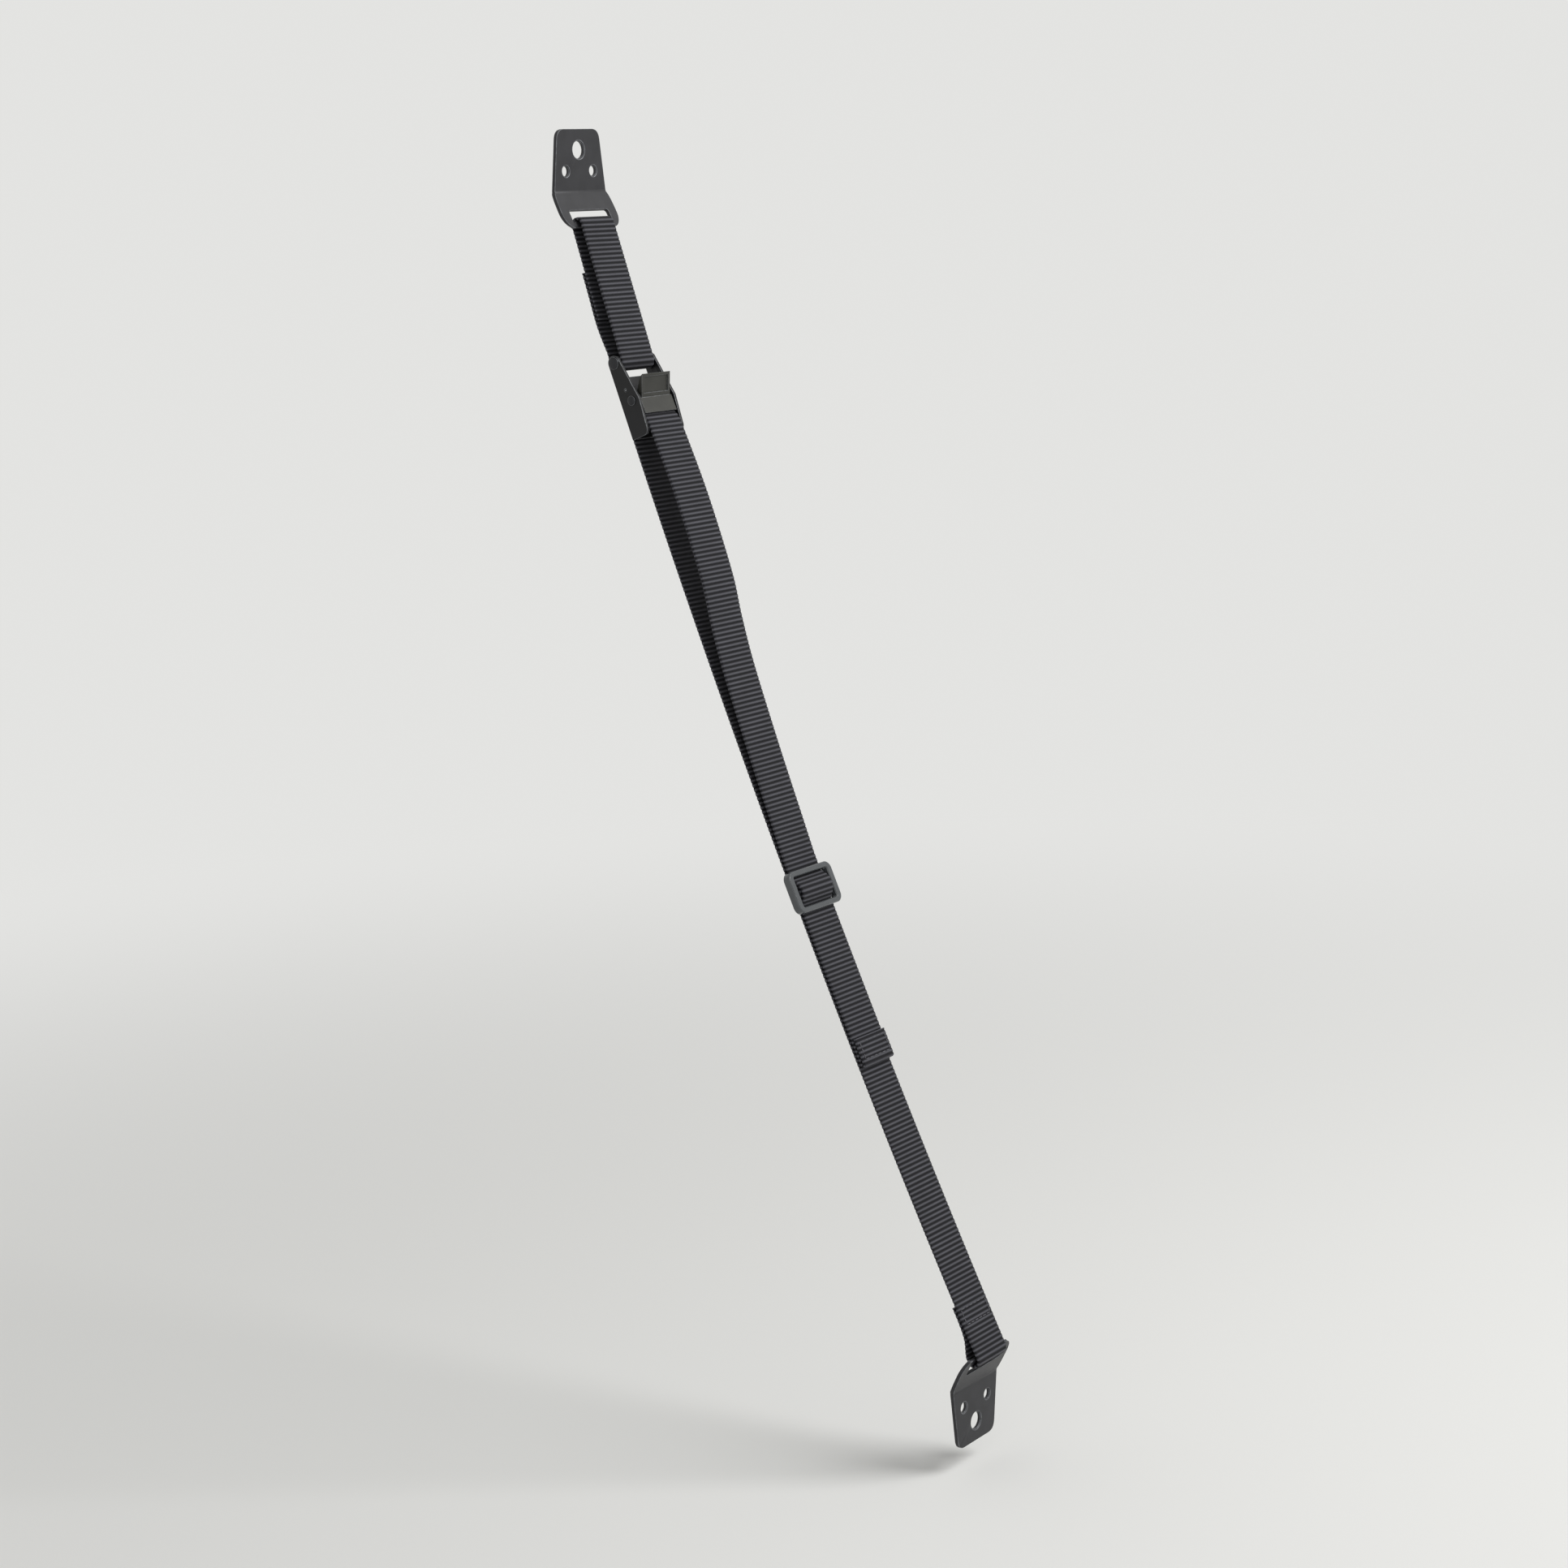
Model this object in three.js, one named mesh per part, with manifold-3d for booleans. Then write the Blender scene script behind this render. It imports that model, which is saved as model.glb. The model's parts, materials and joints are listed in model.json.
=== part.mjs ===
// Furniture anti-tip strap: two pressed brackets joined by ribbed webbing and a cam buckle.
// Millimetres. X runs across the strap, +Y points into the surface that the upper bracket is fixed to,
// +Z is up. The origin is on the upper bracket's back face, midway between its two small screw holes.
// The strap hangs down and away from that surface to the lower bracket, which stands further out.
//
// The strap is drawn in its side view, the plane of Y and Z. A lean is the angle between the strap and
// straight down, in degrees, and grows as the strap swings out from the wall.

import * as THREE from 'three';
import { mergeVertices } from 'three/addons/utils/BufferGeometryUtils.js';
import Module from 'manifold-3d';

const wasm = await Module();
wasm.setup();

// Gap between pieces that touch or turn on one another
const CLEARANCE = 0.3;

// Webbing
const WEBBING_WIDTH = 25;
const WEBBING_THICKNESS = 1.5;
const RIB_PITCH = 2.3;
const RIB_DEPTH = 0.25;
const LAYER_GAP = 0.25;
const SEWN_LAP = 24;

// Brackets, measured from the line of the two small holes
const BRACKET_THICKNESS = 2;
const BRACKET_TOP = 20.2;
const BRACKET_TOP_WIDTH = 31.5;
const BRACKET_CORNER = 5;
const BRACKET_BEND_WIDTH = 39;
const BRACKET_EAR_WIDTH = 42;
const BRACKET_EAR_RADIUS = 7;
const BRACKET_EAR_EASE = 2;
const BRACKET_BEND_DROP = 10.1;
const BRACKET_BEND_RADIUS = 3;
const BRACKET_SLOPE = 27;
const SLOT_TO_BEND = 10.1;
const SLOT_WIDTH = 30;
const SLOT_HEIGHT = 5.6;
const SLOT_CORNER = 1.5;
const BAR_HEIGHT = 3.8;
const BAR_THICKNESS = 1.8;
const BAR_CORNER = 0.85;
const LARGE_HOLE_DIAMETER = 8.5;
const LARGE_HOLE_RISE = 10.2;
const SMALL_HOLE_DIAMETER = 5;
const SMALL_HOLE_SPACING = 20.7;
const HOLE_CHAMFER = 0.5;

// Upper loop of webbing, from the bracket's bar to the buckle's anchor pin
const LOOP_LEAN = 17.5;
const LOOP_LENGTH = 70;
const LOOP_EASE = 3;

// Cam buckle. Drops run down the strap from the anchor pin, and outs run away from the wall.
const BUCKLE_LEAN = 20.2;
const SHEET = 1.5;
const BUCKLE_INNER_WIDTH = 26;
const ANCHOR_PIN_DIAMETER = 5;
const ANCHOR_HEAD_DIAMETER = 6.2;
const ANCHOR_HEAD_HEIGHT = 0.6;
const PLATE_TOP_RADIUS = 3.6;
const PLATE_SHOULDER_DROP = 20.7;
const PLATE_SHOULDER_OUT = 8.2;
const PLATE_FOOT_OUT = 7.2;
const PLATE_FOOT_DROP = 38.5;
const PLATE_FOOT_RADIUS = 3;
const FLOOR_TOP_DROP = 7;
const FLOOR_END_DROP = 19;
const NOSE_DROP = 31;
const NOSE_RADIUS = 4.2;
const NOSE_LIP_LENGTH = 4.5;
const AXLE_DROP = 20.4;
const AXLE_OUT = 3.4;
const AXLE_DIAMETER = 3;
const AXLE_HEAD_DIAMETER = 4.8;
const AXLE_HEAD_HEIGHT = 0.8;
const HEAD_FLAT = 0.6;
const HEAD_RIM = 0.4;

// Cam lever
const PAD_WIDTH = 22;
const PAD_LENGTH = 11;
const PAD_TILT = 23.5;
const PAD_FOOT_OUT = 7.5;
const PAD_FOOT_RISE = 0.4;
const PAD_THICKNESS = 2.2;
const PAD_BORDER = 1.5;
const PAD_RECESS = 0.7;
const CAM_WIDTH = 24.4;
const CAM_FACE_TOP_OUT = 7.2;
const CAM_FACE_FOOT_OUT = 7.6;
const CAM_FACE_HEIGHT = 8;
const HUB_RADIUS = 3.4;
const JAW_HEEL = 0.6;
const CHEEK_THICKNESS = 2.6;
const TOOTH_ROWS = [30, 44, 58];
const TOOTH_DEPTH = 0.8;
const TOOTH_PITCH = 2.6;
const TOOTH_NOTCH = 1.1;

// Torsion spring
const SPRING_WIRE = 0.9;
const SPRING_TURNS = 2.5;
const SPRING_COIL_RADIUS = 2.2;
const SPRING_COIL_GAP = 0.15;
const SPRING_HOLE_DROP = 14.5;
const SPRING_HOLE_OUT = 1.8;
const SPRING_LEG_STRAIGHT = 3;
const SPRING_BRIDGE_RISE = 3.6;
const SPRING_BRIDGE_OUT = 1.8;

// Strap below the buckle, measured along it from the nose
const FOOT_LEAN = 26.2;
const STRAP_LENGTH = 482;
const FOOT_LOOP_SPREAD = 0.8;
const TAIL_EXIT_ANGLE = 25;
const TAIL_EXIT_STRAIGHT = 3;
const TAIL_PAST_GLIDE = 89;

// Tail standing off the strap: distance from the nose, and gap between the two centre lines
const TAIL_BOW = [
  [8, 12.3],
  [42, 13.7],
  [82, 12.4],
  [104, 9.2],
  [128, 6.6],
  [168, 4.4],
  [205, 2.8],
];

// Three-bar slide
const GLIDE_DISTANCE = 242;
const GLIDE_WIDTH = 35;
const GLIDE_LENGTH = 21;
const GLIDE_DEPTH = 4.2;
const GLIDE_CORNER = 4;
const GLIDE_OPENING_WIDTH = 27.5;
const GLIDE_OPENING_LENGTH = 15.4;
const GLIDE_BAR_DEPTH = 2.4;
const GLIDE_MIDDLE_BAR = 3;
const GLIDE_MIDDLE_DEPTH = 1.6;
const GLIDE_BAR_CORNER = 0.6;
const GLIDE_OPENING_CORNER = 1;
const GLIDE_WAVE = 8;
const GLIDE_BEVEL = 0.5;

// Fineness of round shapes: steps in a corner, sides of a cylinder, and degrees in a bend of webbing
const CORNER_STEPS = 8;
const ROD_SIDES = 24;
const BEND_STEP = 6;

// Length of a cutting block that has to reach past its piece
const REACH = 30;

const rad = THREE.MathUtils.degToRad;
const HALF_WEBBING = WEBBING_THICKNESS / 2;
const LAYER_PITCH = WEBBING_THICKNESS + LAYER_GAP;

// Solids

/** Turns a closed geometry into a solid that can be joined and cut. */
function solid(geometry) {
  const bare = geometry.clone();
  bare.deleteAttribute('normal');
  bare.deleteAttribute('uv');
  const merged = mergeVertices(bare, 1e-4);
  return new wasm.Manifold(new wasm.Mesh({
    numProp: 3,
    vertProperties: new Float32Array(merged.attributes.position.array),
    triVerts: new Uint32Array(merged.index.array),
  }));
}

/** Turns a solid back into a geometry with flat faces. */
function surface(body) {
  const mesh = body.getMesh();
  const geometry = new THREE.BufferGeometry();
  geometry.setAttribute('position', new THREE.BufferAttribute(mesh.vertProperties, 3));
  geometry.setIndex(new THREE.BufferAttribute(mesh.triVerts, 1));
  const flat = geometry.toNonIndexed();
  flat.computeVertexNormals();
  return flat;
}

/** Extrudes a side view, drawn in (y, z), to a width across X, centred on middle. */
function across(shape, width, middle = 0, options = {}) {
  const geometry = new THREE.ExtrudeGeometry(shape, {
    depth: width,
    bevelEnabled: false,
    curveSegments: CORNER_STEPS,
    ...options,
  });
  geometry.applyMatrix4(new THREE.Matrix4().makeBasis(
    new THREE.Vector3(0, 1, 0), new THREE.Vector3(0, 0, 1), new THREE.Vector3(1, 0, 0)));
  return geometry.translate(middle - width / 2, 0, 0);
}

/** Extrudes a front view, drawn in (x, z), from the plane y = from towards the plane y = to. */
function through(shape, from, to, options = {}) {
  const geometry = new THREE.ExtrudeGeometry(shape, {
    depth: Math.abs(to - from),
    bevelEnabled: false,
    curveSegments: CORNER_STEPS,
    ...options,
  });
  return geometry.rotateX(Math.PI / 2).translate(0, Math.max(from, to), 0);
}

/** A cylinder that runs across X, at (y, z). */
function rod(radius, length, y, z, middle = 0) {
  return new THREE.CylinderGeometry(radius, radius, length, ROD_SIDES)
    .rotateZ(Math.PI / 2).translate(middle, y, z);
}

/** A cylinder or cone that runs into the wall, along Y, centred at (x, y, z). */
function drill(frontRadius, backRadius, length, x, y, z) {
  return new THREE.CylinderGeometry(backRadius, frontRadius, length, ROD_SIDES).translate(x, y, z);
}

function block(width, depth, height, x, y, z) {
  return new THREE.BoxGeometry(width, depth, height).translate(x, y, z);
}

/** A round solid about a line across X, at (y, z). Each profile point is [radius, place along X]. */
function turned(profile, y, z, x = 0) {
  const points = profile.map(([radius, along]) => new THREE.Vector2(radius, along));
  return new THREE.LatheGeometry(points, ROD_SIDES).rotateZ(-Math.PI / 2).translate(x, y, z);
}

/** A pin across the buckle with a low domed head at each end. */
function rivet(radius, headRadius, headHeight, y, z) {
  const face = BUCKLE_INNER_WIDTH / 2 + SHEET + CLEARANCE / 2;
  const rim = face + headHeight * HEAD_RIM;
  const end = face + headHeight;
  const flat = headRadius * HEAD_FLAT;
  return turned([
    [0, -end], [flat, -end], [headRadius, -rim], [headRadius, -face],
    [radius, -face], [radius, face],
    [headRadius, face], [headRadius, rim], [flat, end], [0, end],
  ], y, z);
}

/** A rectangle with rounded corners, centred on (x, y). */
function roundedRectangle(width, height, radius, x = 0, y = 0, Path = THREE.Shape) {
  const right = x + width / 2;
  const left = x - width / 2;
  const top = y + height / 2;
  const foot = y - height / 2;
  const path = new Path();
  path.moveTo(left + radius, foot);
  path.absarc(right - radius, foot + radius, radius, -Math.PI / 2, 0);
  path.absarc(right - radius, top - radius, radius, 0, Math.PI / 2);
  path.absarc(left + radius, top - radius, radius, Math.PI / 2, Math.PI);
  path.absarc(left + radius, foot + radius, radius, Math.PI, 1.5 * Math.PI);
  path.closePath();
  return path;
}

// Webbing in its side view

/** The points of a line, moved sideways. Positive is to the left; every other point moves by odd. */
function beside(points, distance, odd = distance) {
  return points.map((point, i) => {
    const before = points[Math.max(i - 1, 0)];
    const after = points[Math.min(i + 1, points.length - 1)];
    const along = new THREE.Vector2().subVectors(after, before).normalize();
    const shift = i % 2 ? odd : distance;
    return new THREE.Vector2(point.x - along.y * shift, point.y + along.x * shift);
  });
}

/** Points at even distances along a line. */
function evenly(points, step) {
  const line = new THREE.CurvePath();
  for (let i = 1; i < points.length; i += 1) line.add(new THREE.LineCurve(points[i - 1], points[i]));
  const count = Math.round(line.getLength() / step);
  return Array.from({ length: count + 1 }, (_, i) => line.getPointAt(i / count));
}

/** Webbing that follows a line in the side view, with ribs that run across both of its faces. */
function ribbon(points) {
  const line = evenly(points, RIB_PITCH / 2);
  const crest = HALF_WEBBING;
  const valley = HALF_WEBBING - RIB_DEPTH;
  const outline = [...beside(line, -crest, -valley), ...beside(line, crest, valley).reverse()];
  return across(new THREE.Shape(outline), WEBBING_WIDTH);
}

/** Points of an arc in the side view, from one angle to another, in degrees from +Y towards +Z. */
function arc(centre, radius, from, to, step = BEND_STEP) {
  const steps = Math.max(2, Math.ceil(Math.abs(to - from) / step));
  return Array.from({ length: steps + 1 }, (_, i) => {
    const angle = rad(from + (to - from) * i / steps);
    return new THREE.Vector2(centre.x + radius * Math.cos(angle), centre.y + radius * Math.sin(angle));
  });
}

/** A smooth line through points, in steps of about a given length. */
function smooth(points, step) {
  const curve = new THREE.SplineCurve(points);
  return curve.getSpacedPoints(Math.ceil(curve.getLength() / step));
}

/** A point that lies drop down a leaning line from a start, and out from it. */
function lean(start, degrees, drop, out = 0) {
  const angle = rad(degrees);
  return new THREE.Vector2(
    start.x - drop * Math.sin(angle) - out * Math.cos(angle),
    start.y - drop * Math.cos(angle) + out * Math.sin(angle));
}

// Brackets

const SLOPE_START = new THREE.Vector2(-BRACKET_THICKNESS / 2, -BRACKET_BEND_DROP);
const BAR_DROP = SLOT_TO_BEND + SLOT_HEIGHT + BAR_HEIGHT / 2;
const BAR = lean(SLOPE_START, BRACKET_SLOPE, BAR_DROP);
const BRACKET_FOOT = lean(SLOPE_START, BRACKET_SLOPE, BAR_DROP + BAR_HEIGHT / 2).y;

/** The plate's front outline, in (x, z). */
function bracketOutline() {
  const top = BRACKET_TOP_WIDTH / 2;
  const bend = BRACKET_BEND_WIDTH / 2;
  const ear = BRACKET_EAR_WIDTH / 2;
  const earHeight = BRACKET_FOOT + BRACKET_EAR_RADIUS;
  const foot = ear - BRACKET_EAR_RADIUS;
  const taper = (bend - top) / (BRACKET_TOP + BRACKET_BEND_DROP);
  const shoulder = top + taper * BRACKET_CORNER;
  const easeTop = -BRACKET_BEND_DROP - BRACKET_EAR_EASE;
  const shape = new THREE.Shape();
  shape.moveTo(-foot, BRACKET_FOOT);
  shape.lineTo(foot, BRACKET_FOOT);
  shape.absarc(foot, earHeight, BRACKET_EAR_RADIUS, -Math.PI / 2, 0);
  shape.quadraticCurveTo(ear, easeTop, bend, -BRACKET_BEND_DROP);
  shape.lineTo(shoulder, BRACKET_TOP - BRACKET_CORNER);
  shape.quadraticCurveTo(top, BRACKET_TOP, top - BRACKET_CORNER, BRACKET_TOP);
  shape.lineTo(-top + BRACKET_CORNER, BRACKET_TOP);
  shape.quadraticCurveTo(-top, BRACKET_TOP, -shoulder, BRACKET_TOP - BRACKET_CORNER);
  shape.lineTo(-bend, -BRACKET_BEND_DROP);
  shape.quadraticCurveTo(-ear, easeTop, -ear, earHeight);
  shape.absarc(-foot, earHeight, BRACKET_EAR_RADIUS, Math.PI, 1.5 * Math.PI);
  return shape;
}

/** The bent plate's side view, as a strip of even thickness. */
function bracketStrip() {
  const half = BRACKET_THICKNESS / 2;
  const radius = BRACKET_BEND_RADIUS + half;
  const setback = radius * Math.tan(rad(BRACKET_SLOPE / 2));
  const centre = new THREE.Vector2(-half - radius, -BRACKET_BEND_DROP + setback);
  const line = [
    new THREE.Vector2(-half, 2 * BRACKET_TOP),
    ...arc(centre, radius, 0, -BRACKET_SLOPE),
    lean(SLOPE_START, BRACKET_SLOPE, 2 * BAR_DROP),
  ];
  return new THREE.Shape([...beside(line, half), ...beside(line, -half).reverse()]);
}

/** One bracket, upright, with its back face on y = 0. */
function bracket() {
  let plate = solid(across(bracketStrip(), 2 * BRACKET_EAR_WIDTH));
  plate = plate.intersect(solid(through(bracketOutline(), -REACH, REACH)));

  // The slot is cut square to the sloping part, and a bar with round edges closes it.
  const cutHeight = SLOT_HEIGHT + 2 * BAR_HEIGHT;
  const cutDepth = 2 * BRACKET_THICKNESS;
  const slot = through(roundedRectangle(SLOT_WIDTH, cutHeight, SLOT_CORNER), -cutDepth, cutDepth,
    { curveSegments: 4 }).rotateX(rad(-BRACKET_SLOPE));
  const slotPlace = lean(SLOPE_START, BRACKET_SLOPE, SLOT_TO_BEND + cutHeight / 2);
  plate = plate.subtract(solid(slot.translate(0, slotPlace.x, slotPlace.y)));
  const barSection = roundedRectangle(BAR_THICKNESS, BAR_HEIGHT, BAR_CORNER);
  const bar = across(barSection, SLOT_WIDTH + 2 * SLOT_CORNER, 0, { curveSegments: 4 })
    .rotateX(rad(-BRACKET_SLOPE)).translate(0, BAR.x, BAR.y);
  plate = plate.add(solid(bar));

  const holes = [
    [0, LARGE_HOLE_RISE, LARGE_HOLE_DIAMETER / 2],
    [-SMALL_HOLE_SPACING / 2, 0, SMALL_HOLE_DIAMETER / 2],
    [SMALL_HOLE_SPACING / 2, 0, SMALL_HOLE_DIAMETER / 2],
  ];
  for (const [x, z, radius] of holes) {
    plate = plate.subtract(solid(drill(radius, radius, 4 * BRACKET_THICKNESS, x, 0, z)));
    const front = -BRACKET_THICKNESS;
    plate = plate.subtract(solid(
      drill(radius + 2 * HOLE_CHAMFER, radius, 2 * HOLE_CHAMFER, x, front, z)));
  }
  return surface(plate);
}

// Upper loop: a belt round the bar and the anchor pin, its ends lapped and sewn on the wall side

const BAR_WRAP = BAR_HEIGHT / 2 + CLEARANCE + HALF_WEBBING;
const PIN_WRAP = ANCHOR_PIN_DIAMETER / 2 + CLEARANCE + HALF_WEBBING;
const PIN = lean(BAR, LOOP_LEAN, LOOP_LENGTH);

function upperLoop() {
  // The wall side and the outer side are the two tangents that the circles share.
  const spread = THREE.MathUtils.radToDeg(Math.asin((PIN_WRAP - BAR_WRAP) / LOOP_LENGTH));
  const wallSide = -LOOP_LEAN + spread;
  const outerSide = 180 - LOOP_LEAN - spread;
  const backLean = LOOP_LEAN - spread;
  const lapTop = (LOOP_LENGTH - SEWN_LAP) / 2;
  const lapFoot = lapTop + SEWN_LAP;
  const lapStart = lean(BAR, backLean, lapTop, -BAR_WRAP - LAYER_PITCH);
  const lapMiddle = lean(lapStart, backLean, SEWN_LAP / 2);
  const easeStart = lean(lapStart, backLean, SEWN_LAP + LOOP_EASE);
  const easeEnd = lean(PIN, backLean, -2 * LOOP_EASE, -PIN_WRAP);
  const lapEnd = lean(BAR, backLean, lapFoot, -BAR_WRAP);
  const line = [
    ...smooth([lapStart, lapMiddle, easeStart, easeEnd], RIB_PITCH),
    ...arc(PIN, PIN_WRAP, wallSide, outerSide - 360),
    ...arc(BAR, BAR_WRAP, outerSide, wallSide),
    lapEnd,
  ];
  return ribbon(line);
}

// Main webbing

/** The buckle's own frame: x is across, y points to the wall side of the strap, z up the strap. */
function inBuckle(...children) {
  const group = new THREE.Group();
  group.position.set(0, PIN.x, PIN.y);
  group.rotation.x = rad(-BUCKLE_LEAN);
  group.add(...children);
  return group;
}

const PLATE_BACK = PLATE_TOP_RADIUS;
const NOSE_OUT = NOSE_RADIUS - PLATE_BACK;
const NOSE_WRAP = NOSE_RADIUS + CLEARANCE + HALF_WEBBING;
const NOSE = lean(PIN, BUCKLE_LEAN, NOSE_DROP, NOSE_OUT);
const STRAP_START = lean(NOSE, BUCKLE_LEAN, 0, -NOSE_WRAP);

/** A point on the strap, a distance from the nose, and out from its centre line. */
function onStrap(distance, out = 0) {
  const turn = (FOOT_LEAN - BUCKLE_LEAN) * distance / STRAP_LENGTH;
  const half = rad(turn) / 2;
  const chord = half === 0 ? distance : distance * Math.sin(half) / half;
  const foot = lean(STRAP_START, BUCKLE_LEAN + turn / 2, chord);
  return lean(foot, BUCKLE_LEAN + turn, 0, out);
}

const FOOT_BAR = onStrap(STRAP_LENGTH, -BAR_WRAP);

/** How far the strap rises out over the slide's middle bar. */
const GLIDE_RISE = GLIDE_MIDDLE_DEPTH + 2 * WEBBING_THICKNESS + LAYER_GAP + 1.5 * CLEARANCE
  - (GLIDE_DEPTH - GLIDE_BAR_DEPTH) + HALF_WEBBING;

/** The strap's centre line from one distance to another, waved out over the slide's middle bar. */
function strapLine(from, to) {
  const count = Math.round(to - from);
  return Array.from({ length: count + 1 }, (_, i) => {
    const distance = from + (to - from) * i / count;
    const share = THREE.MathUtils.clamp((distance - GLIDE_DISTANCE) / GLIDE_WAVE, -1, 1);
    return onStrap(distance, GLIDE_RISE * (1 + Math.cos(Math.PI * share)) / 2);
  });
}

function mainWebbing() {
  const lapTop = STRAP_LENGTH - BAR_WRAP - SEWN_LAP;
  const opening = STRAP_LENGTH - BAR_WRAP;

  // Sewn end, down behind the lower bar and round it
  const lap = smooth([
    onStrap(lapTop, -LAYER_PITCH),
    onStrap(lapTop + SEWN_LAP / 3, -LAYER_PITCH),
    onStrap(opening - SEWN_LAP / 3, -LAYER_PITCH - FOOT_LOOP_SPREAD),
    onStrap(opening, -2 * BAR_WRAP + FOOT_LOOP_SPREAD / 2),
    onStrap(STRAP_LENGTH, -2 * BAR_WRAP),
  ], RIB_PITCH);
  const round = arc(FOOT_BAR, BAR_WRAP, -FOOT_LEAN, -180 - FOOT_LEAN).slice(1, -1);

  // Up the strap, in over the nose and out under the cam
  const up = strapLine(0, STRAP_LENGTH).reverse();
  const nose = arc(NOSE, NOSE_WRAP, -BUCKLE_LEAN, 180 - BUCKLE_LEAN - TAIL_EXIT_ANGLE).slice(1, -1);
  const exit = lean(NOSE, BUCKLE_LEAN, -NOSE_WRAP * Math.sin(rad(TAIL_EXIT_ANGLE)),
    NOSE_WRAP * Math.cos(rad(TAIL_EXIT_ANGLE)));
  const exitEnd = lean(exit, BUCKLE_LEAN + TAIL_EXIT_ANGLE, TAIL_EXIT_STRAIGHT);

  // Free tail, standing off the strap and then over it through the slide
  const glideStart = GLIDE_DISTANCE - GLIDE_WAVE;
  const tailEnd = GLIDE_DISTANCE + TAIL_PAST_GLIDE;
  const bow = smooth([
    exit, exitEnd,
    ...TAIL_BOW.map(([distance, out]) => onStrap(distance, out)),
    onStrap(glideStart - GLIDE_WAVE, LAYER_PITCH),
  ], RIB_PITCH);
  const over = beside(strapLine(glideStart - GLIDE_WAVE / 2, tailEnd), -LAYER_PITCH);
  return ribbon([...lap, ...round, ...up, ...nose, ...bow, ...over]);
}

// Three-bar slide, in its own frame: x across, y towards the wall side, z up the strap

function triGlide() {
  const outer = roundedRectangle(GLIDE_WIDTH, GLIDE_LENGTH, GLIDE_CORNER);
  outer.holes.push(roundedRectangle(
    GLIDE_OPENING_WIDTH, GLIDE_OPENING_LENGTH, GLIDE_OPENING_CORNER, 0, 0, THREE.Path));
  let frame = solid(through(outer, GLIDE_BEVEL - GLIDE_DEPTH, -GLIDE_BEVEL, {
    bevelEnabled: true,
    bevelThickness: GLIDE_BEVEL,
    bevelSize: GLIDE_BEVEL,
    bevelOffset: -GLIDE_BEVEL,
    bevelSegments: 1,
    curveSegments: 5,
  }));


  // The webbing runs in a channel behind the two outer bars.
  const channel = GLIDE_DEPTH - GLIDE_BAR_DEPTH;
  frame = frame.subtract(solid(
    block(GLIDE_OPENING_WIDTH, 2 * channel, 2 * GLIDE_LENGTH, 0, 0, 0)));
  const section = roundedRectangle(
    GLIDE_MIDDLE_DEPTH, GLIDE_MIDDLE_BAR, GLIDE_BAR_CORNER, -GLIDE_MIDDLE_DEPTH / 2, 0);
  const middleWidth = GLIDE_OPENING_WIDTH + 2 * GLIDE_OPENING_CORNER;
  frame = frame.add(solid(across(section, middleWidth, 0, { curveSegments: 3 })));
  return surface(frame);
}

// Buckle pieces, in the buckle's frame

/** A side plate's outline, in (y, z). */
function plateOutline() {
  const shape = new THREE.Shape();
  shape.moveTo(PLATE_BACK, -PLATE_FOOT_DROP);
  shape.lineTo(PLATE_BACK, 0);
  shape.absarc(0, 0, PLATE_TOP_RADIUS, 0, Math.PI);
  shape.lineTo(-PLATE_SHOULDER_OUT, -PLATE_SHOULDER_DROP);
  shape.lineTo(-PLATE_FOOT_OUT, -PLATE_FOOT_DROP + PLATE_FOOT_RADIUS);
  shape.absarc(-PLATE_FOOT_OUT + PLATE_FOOT_RADIUS, -PLATE_FOOT_DROP + PLATE_FOOT_RADIUS,
    PLATE_FOOT_RADIUS, Math.PI, 1.5 * Math.PI);
  return shape;
}

/** The rolled nose: the floor's end turned over towards the strap, in (y, z). */
function noseOutline() {
  const inner = NOSE_RADIUS - SHEET;
  const shape = new THREE.Shape();
  shape.moveTo(PLATE_BACK, -PLATE_FOOT_DROP);
  shape.lineTo(PLATE_BACK, -NOSE_DROP);
  shape.absarc(-NOSE_OUT, -NOSE_DROP, NOSE_RADIUS, 0, Math.PI);
  shape.lineTo(-NOSE_OUT - NOSE_RADIUS, -NOSE_DROP - NOSE_LIP_LENGTH);
  shape.lineTo(-NOSE_OUT - inner, -NOSE_DROP - NOSE_LIP_LENGTH);
  shape.absarc(-NOSE_OUT, -NOSE_DROP, inner, Math.PI, 0, true);
  shape.lineTo(PLATE_BACK - SHEET, -PLATE_FOOT_DROP);
  return shape;
}

function buckleFrame() {
  const inner = BUCKLE_INNER_WIDTH;
  let frame = null;
  for (const side of [-1, 1]) {
    const plate = solid(across(plateOutline(), SHEET, side * (inner + SHEET) / 2));
    frame = frame ? frame.add(plate) : plate;
  }
  const floorHeight = FLOOR_END_DROP - FLOOR_TOP_DROP;
  frame = frame.add(solid(block(inner + SHEET, SHEET, floorHeight,
    0, PLATE_BACK - SHEET / 2, -(FLOOR_TOP_DROP + FLOOR_END_DROP) / 2)));

  // The nose itself stands free of the side plates, and the floor strip below it joins them.
  frame = frame.add(solid(across(noseOutline(), inner - 2 * CLEARANCE)));
  const stripHeight = PLATE_FOOT_DROP - NOSE_DROP;
  frame = frame.add(solid(block(inner + SHEET, SHEET, stripHeight,
    0, PLATE_BACK - SHEET / 2, -NOSE_DROP - stripHeight / 2)));

  const width = inner + 4 * SHEET;
  frame = frame.subtract(solid(rod(ANCHOR_PIN_DIAMETER / 2 + CLEARANCE / 2, width, 0, 0)));
  frame = frame.subtract(solid(
    rod(AXLE_DIAMETER / 2 + CLEARANCE / 2, width, -AXLE_OUT, -AXLE_DROP)));
  frame = frame.subtract(solid(
    rod(SPRING_WIRE / 2 + CLEARANCE, width, -SPRING_HOLE_OUT, -SPRING_HOLE_DROP)));
  return surface(frame);
}

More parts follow.
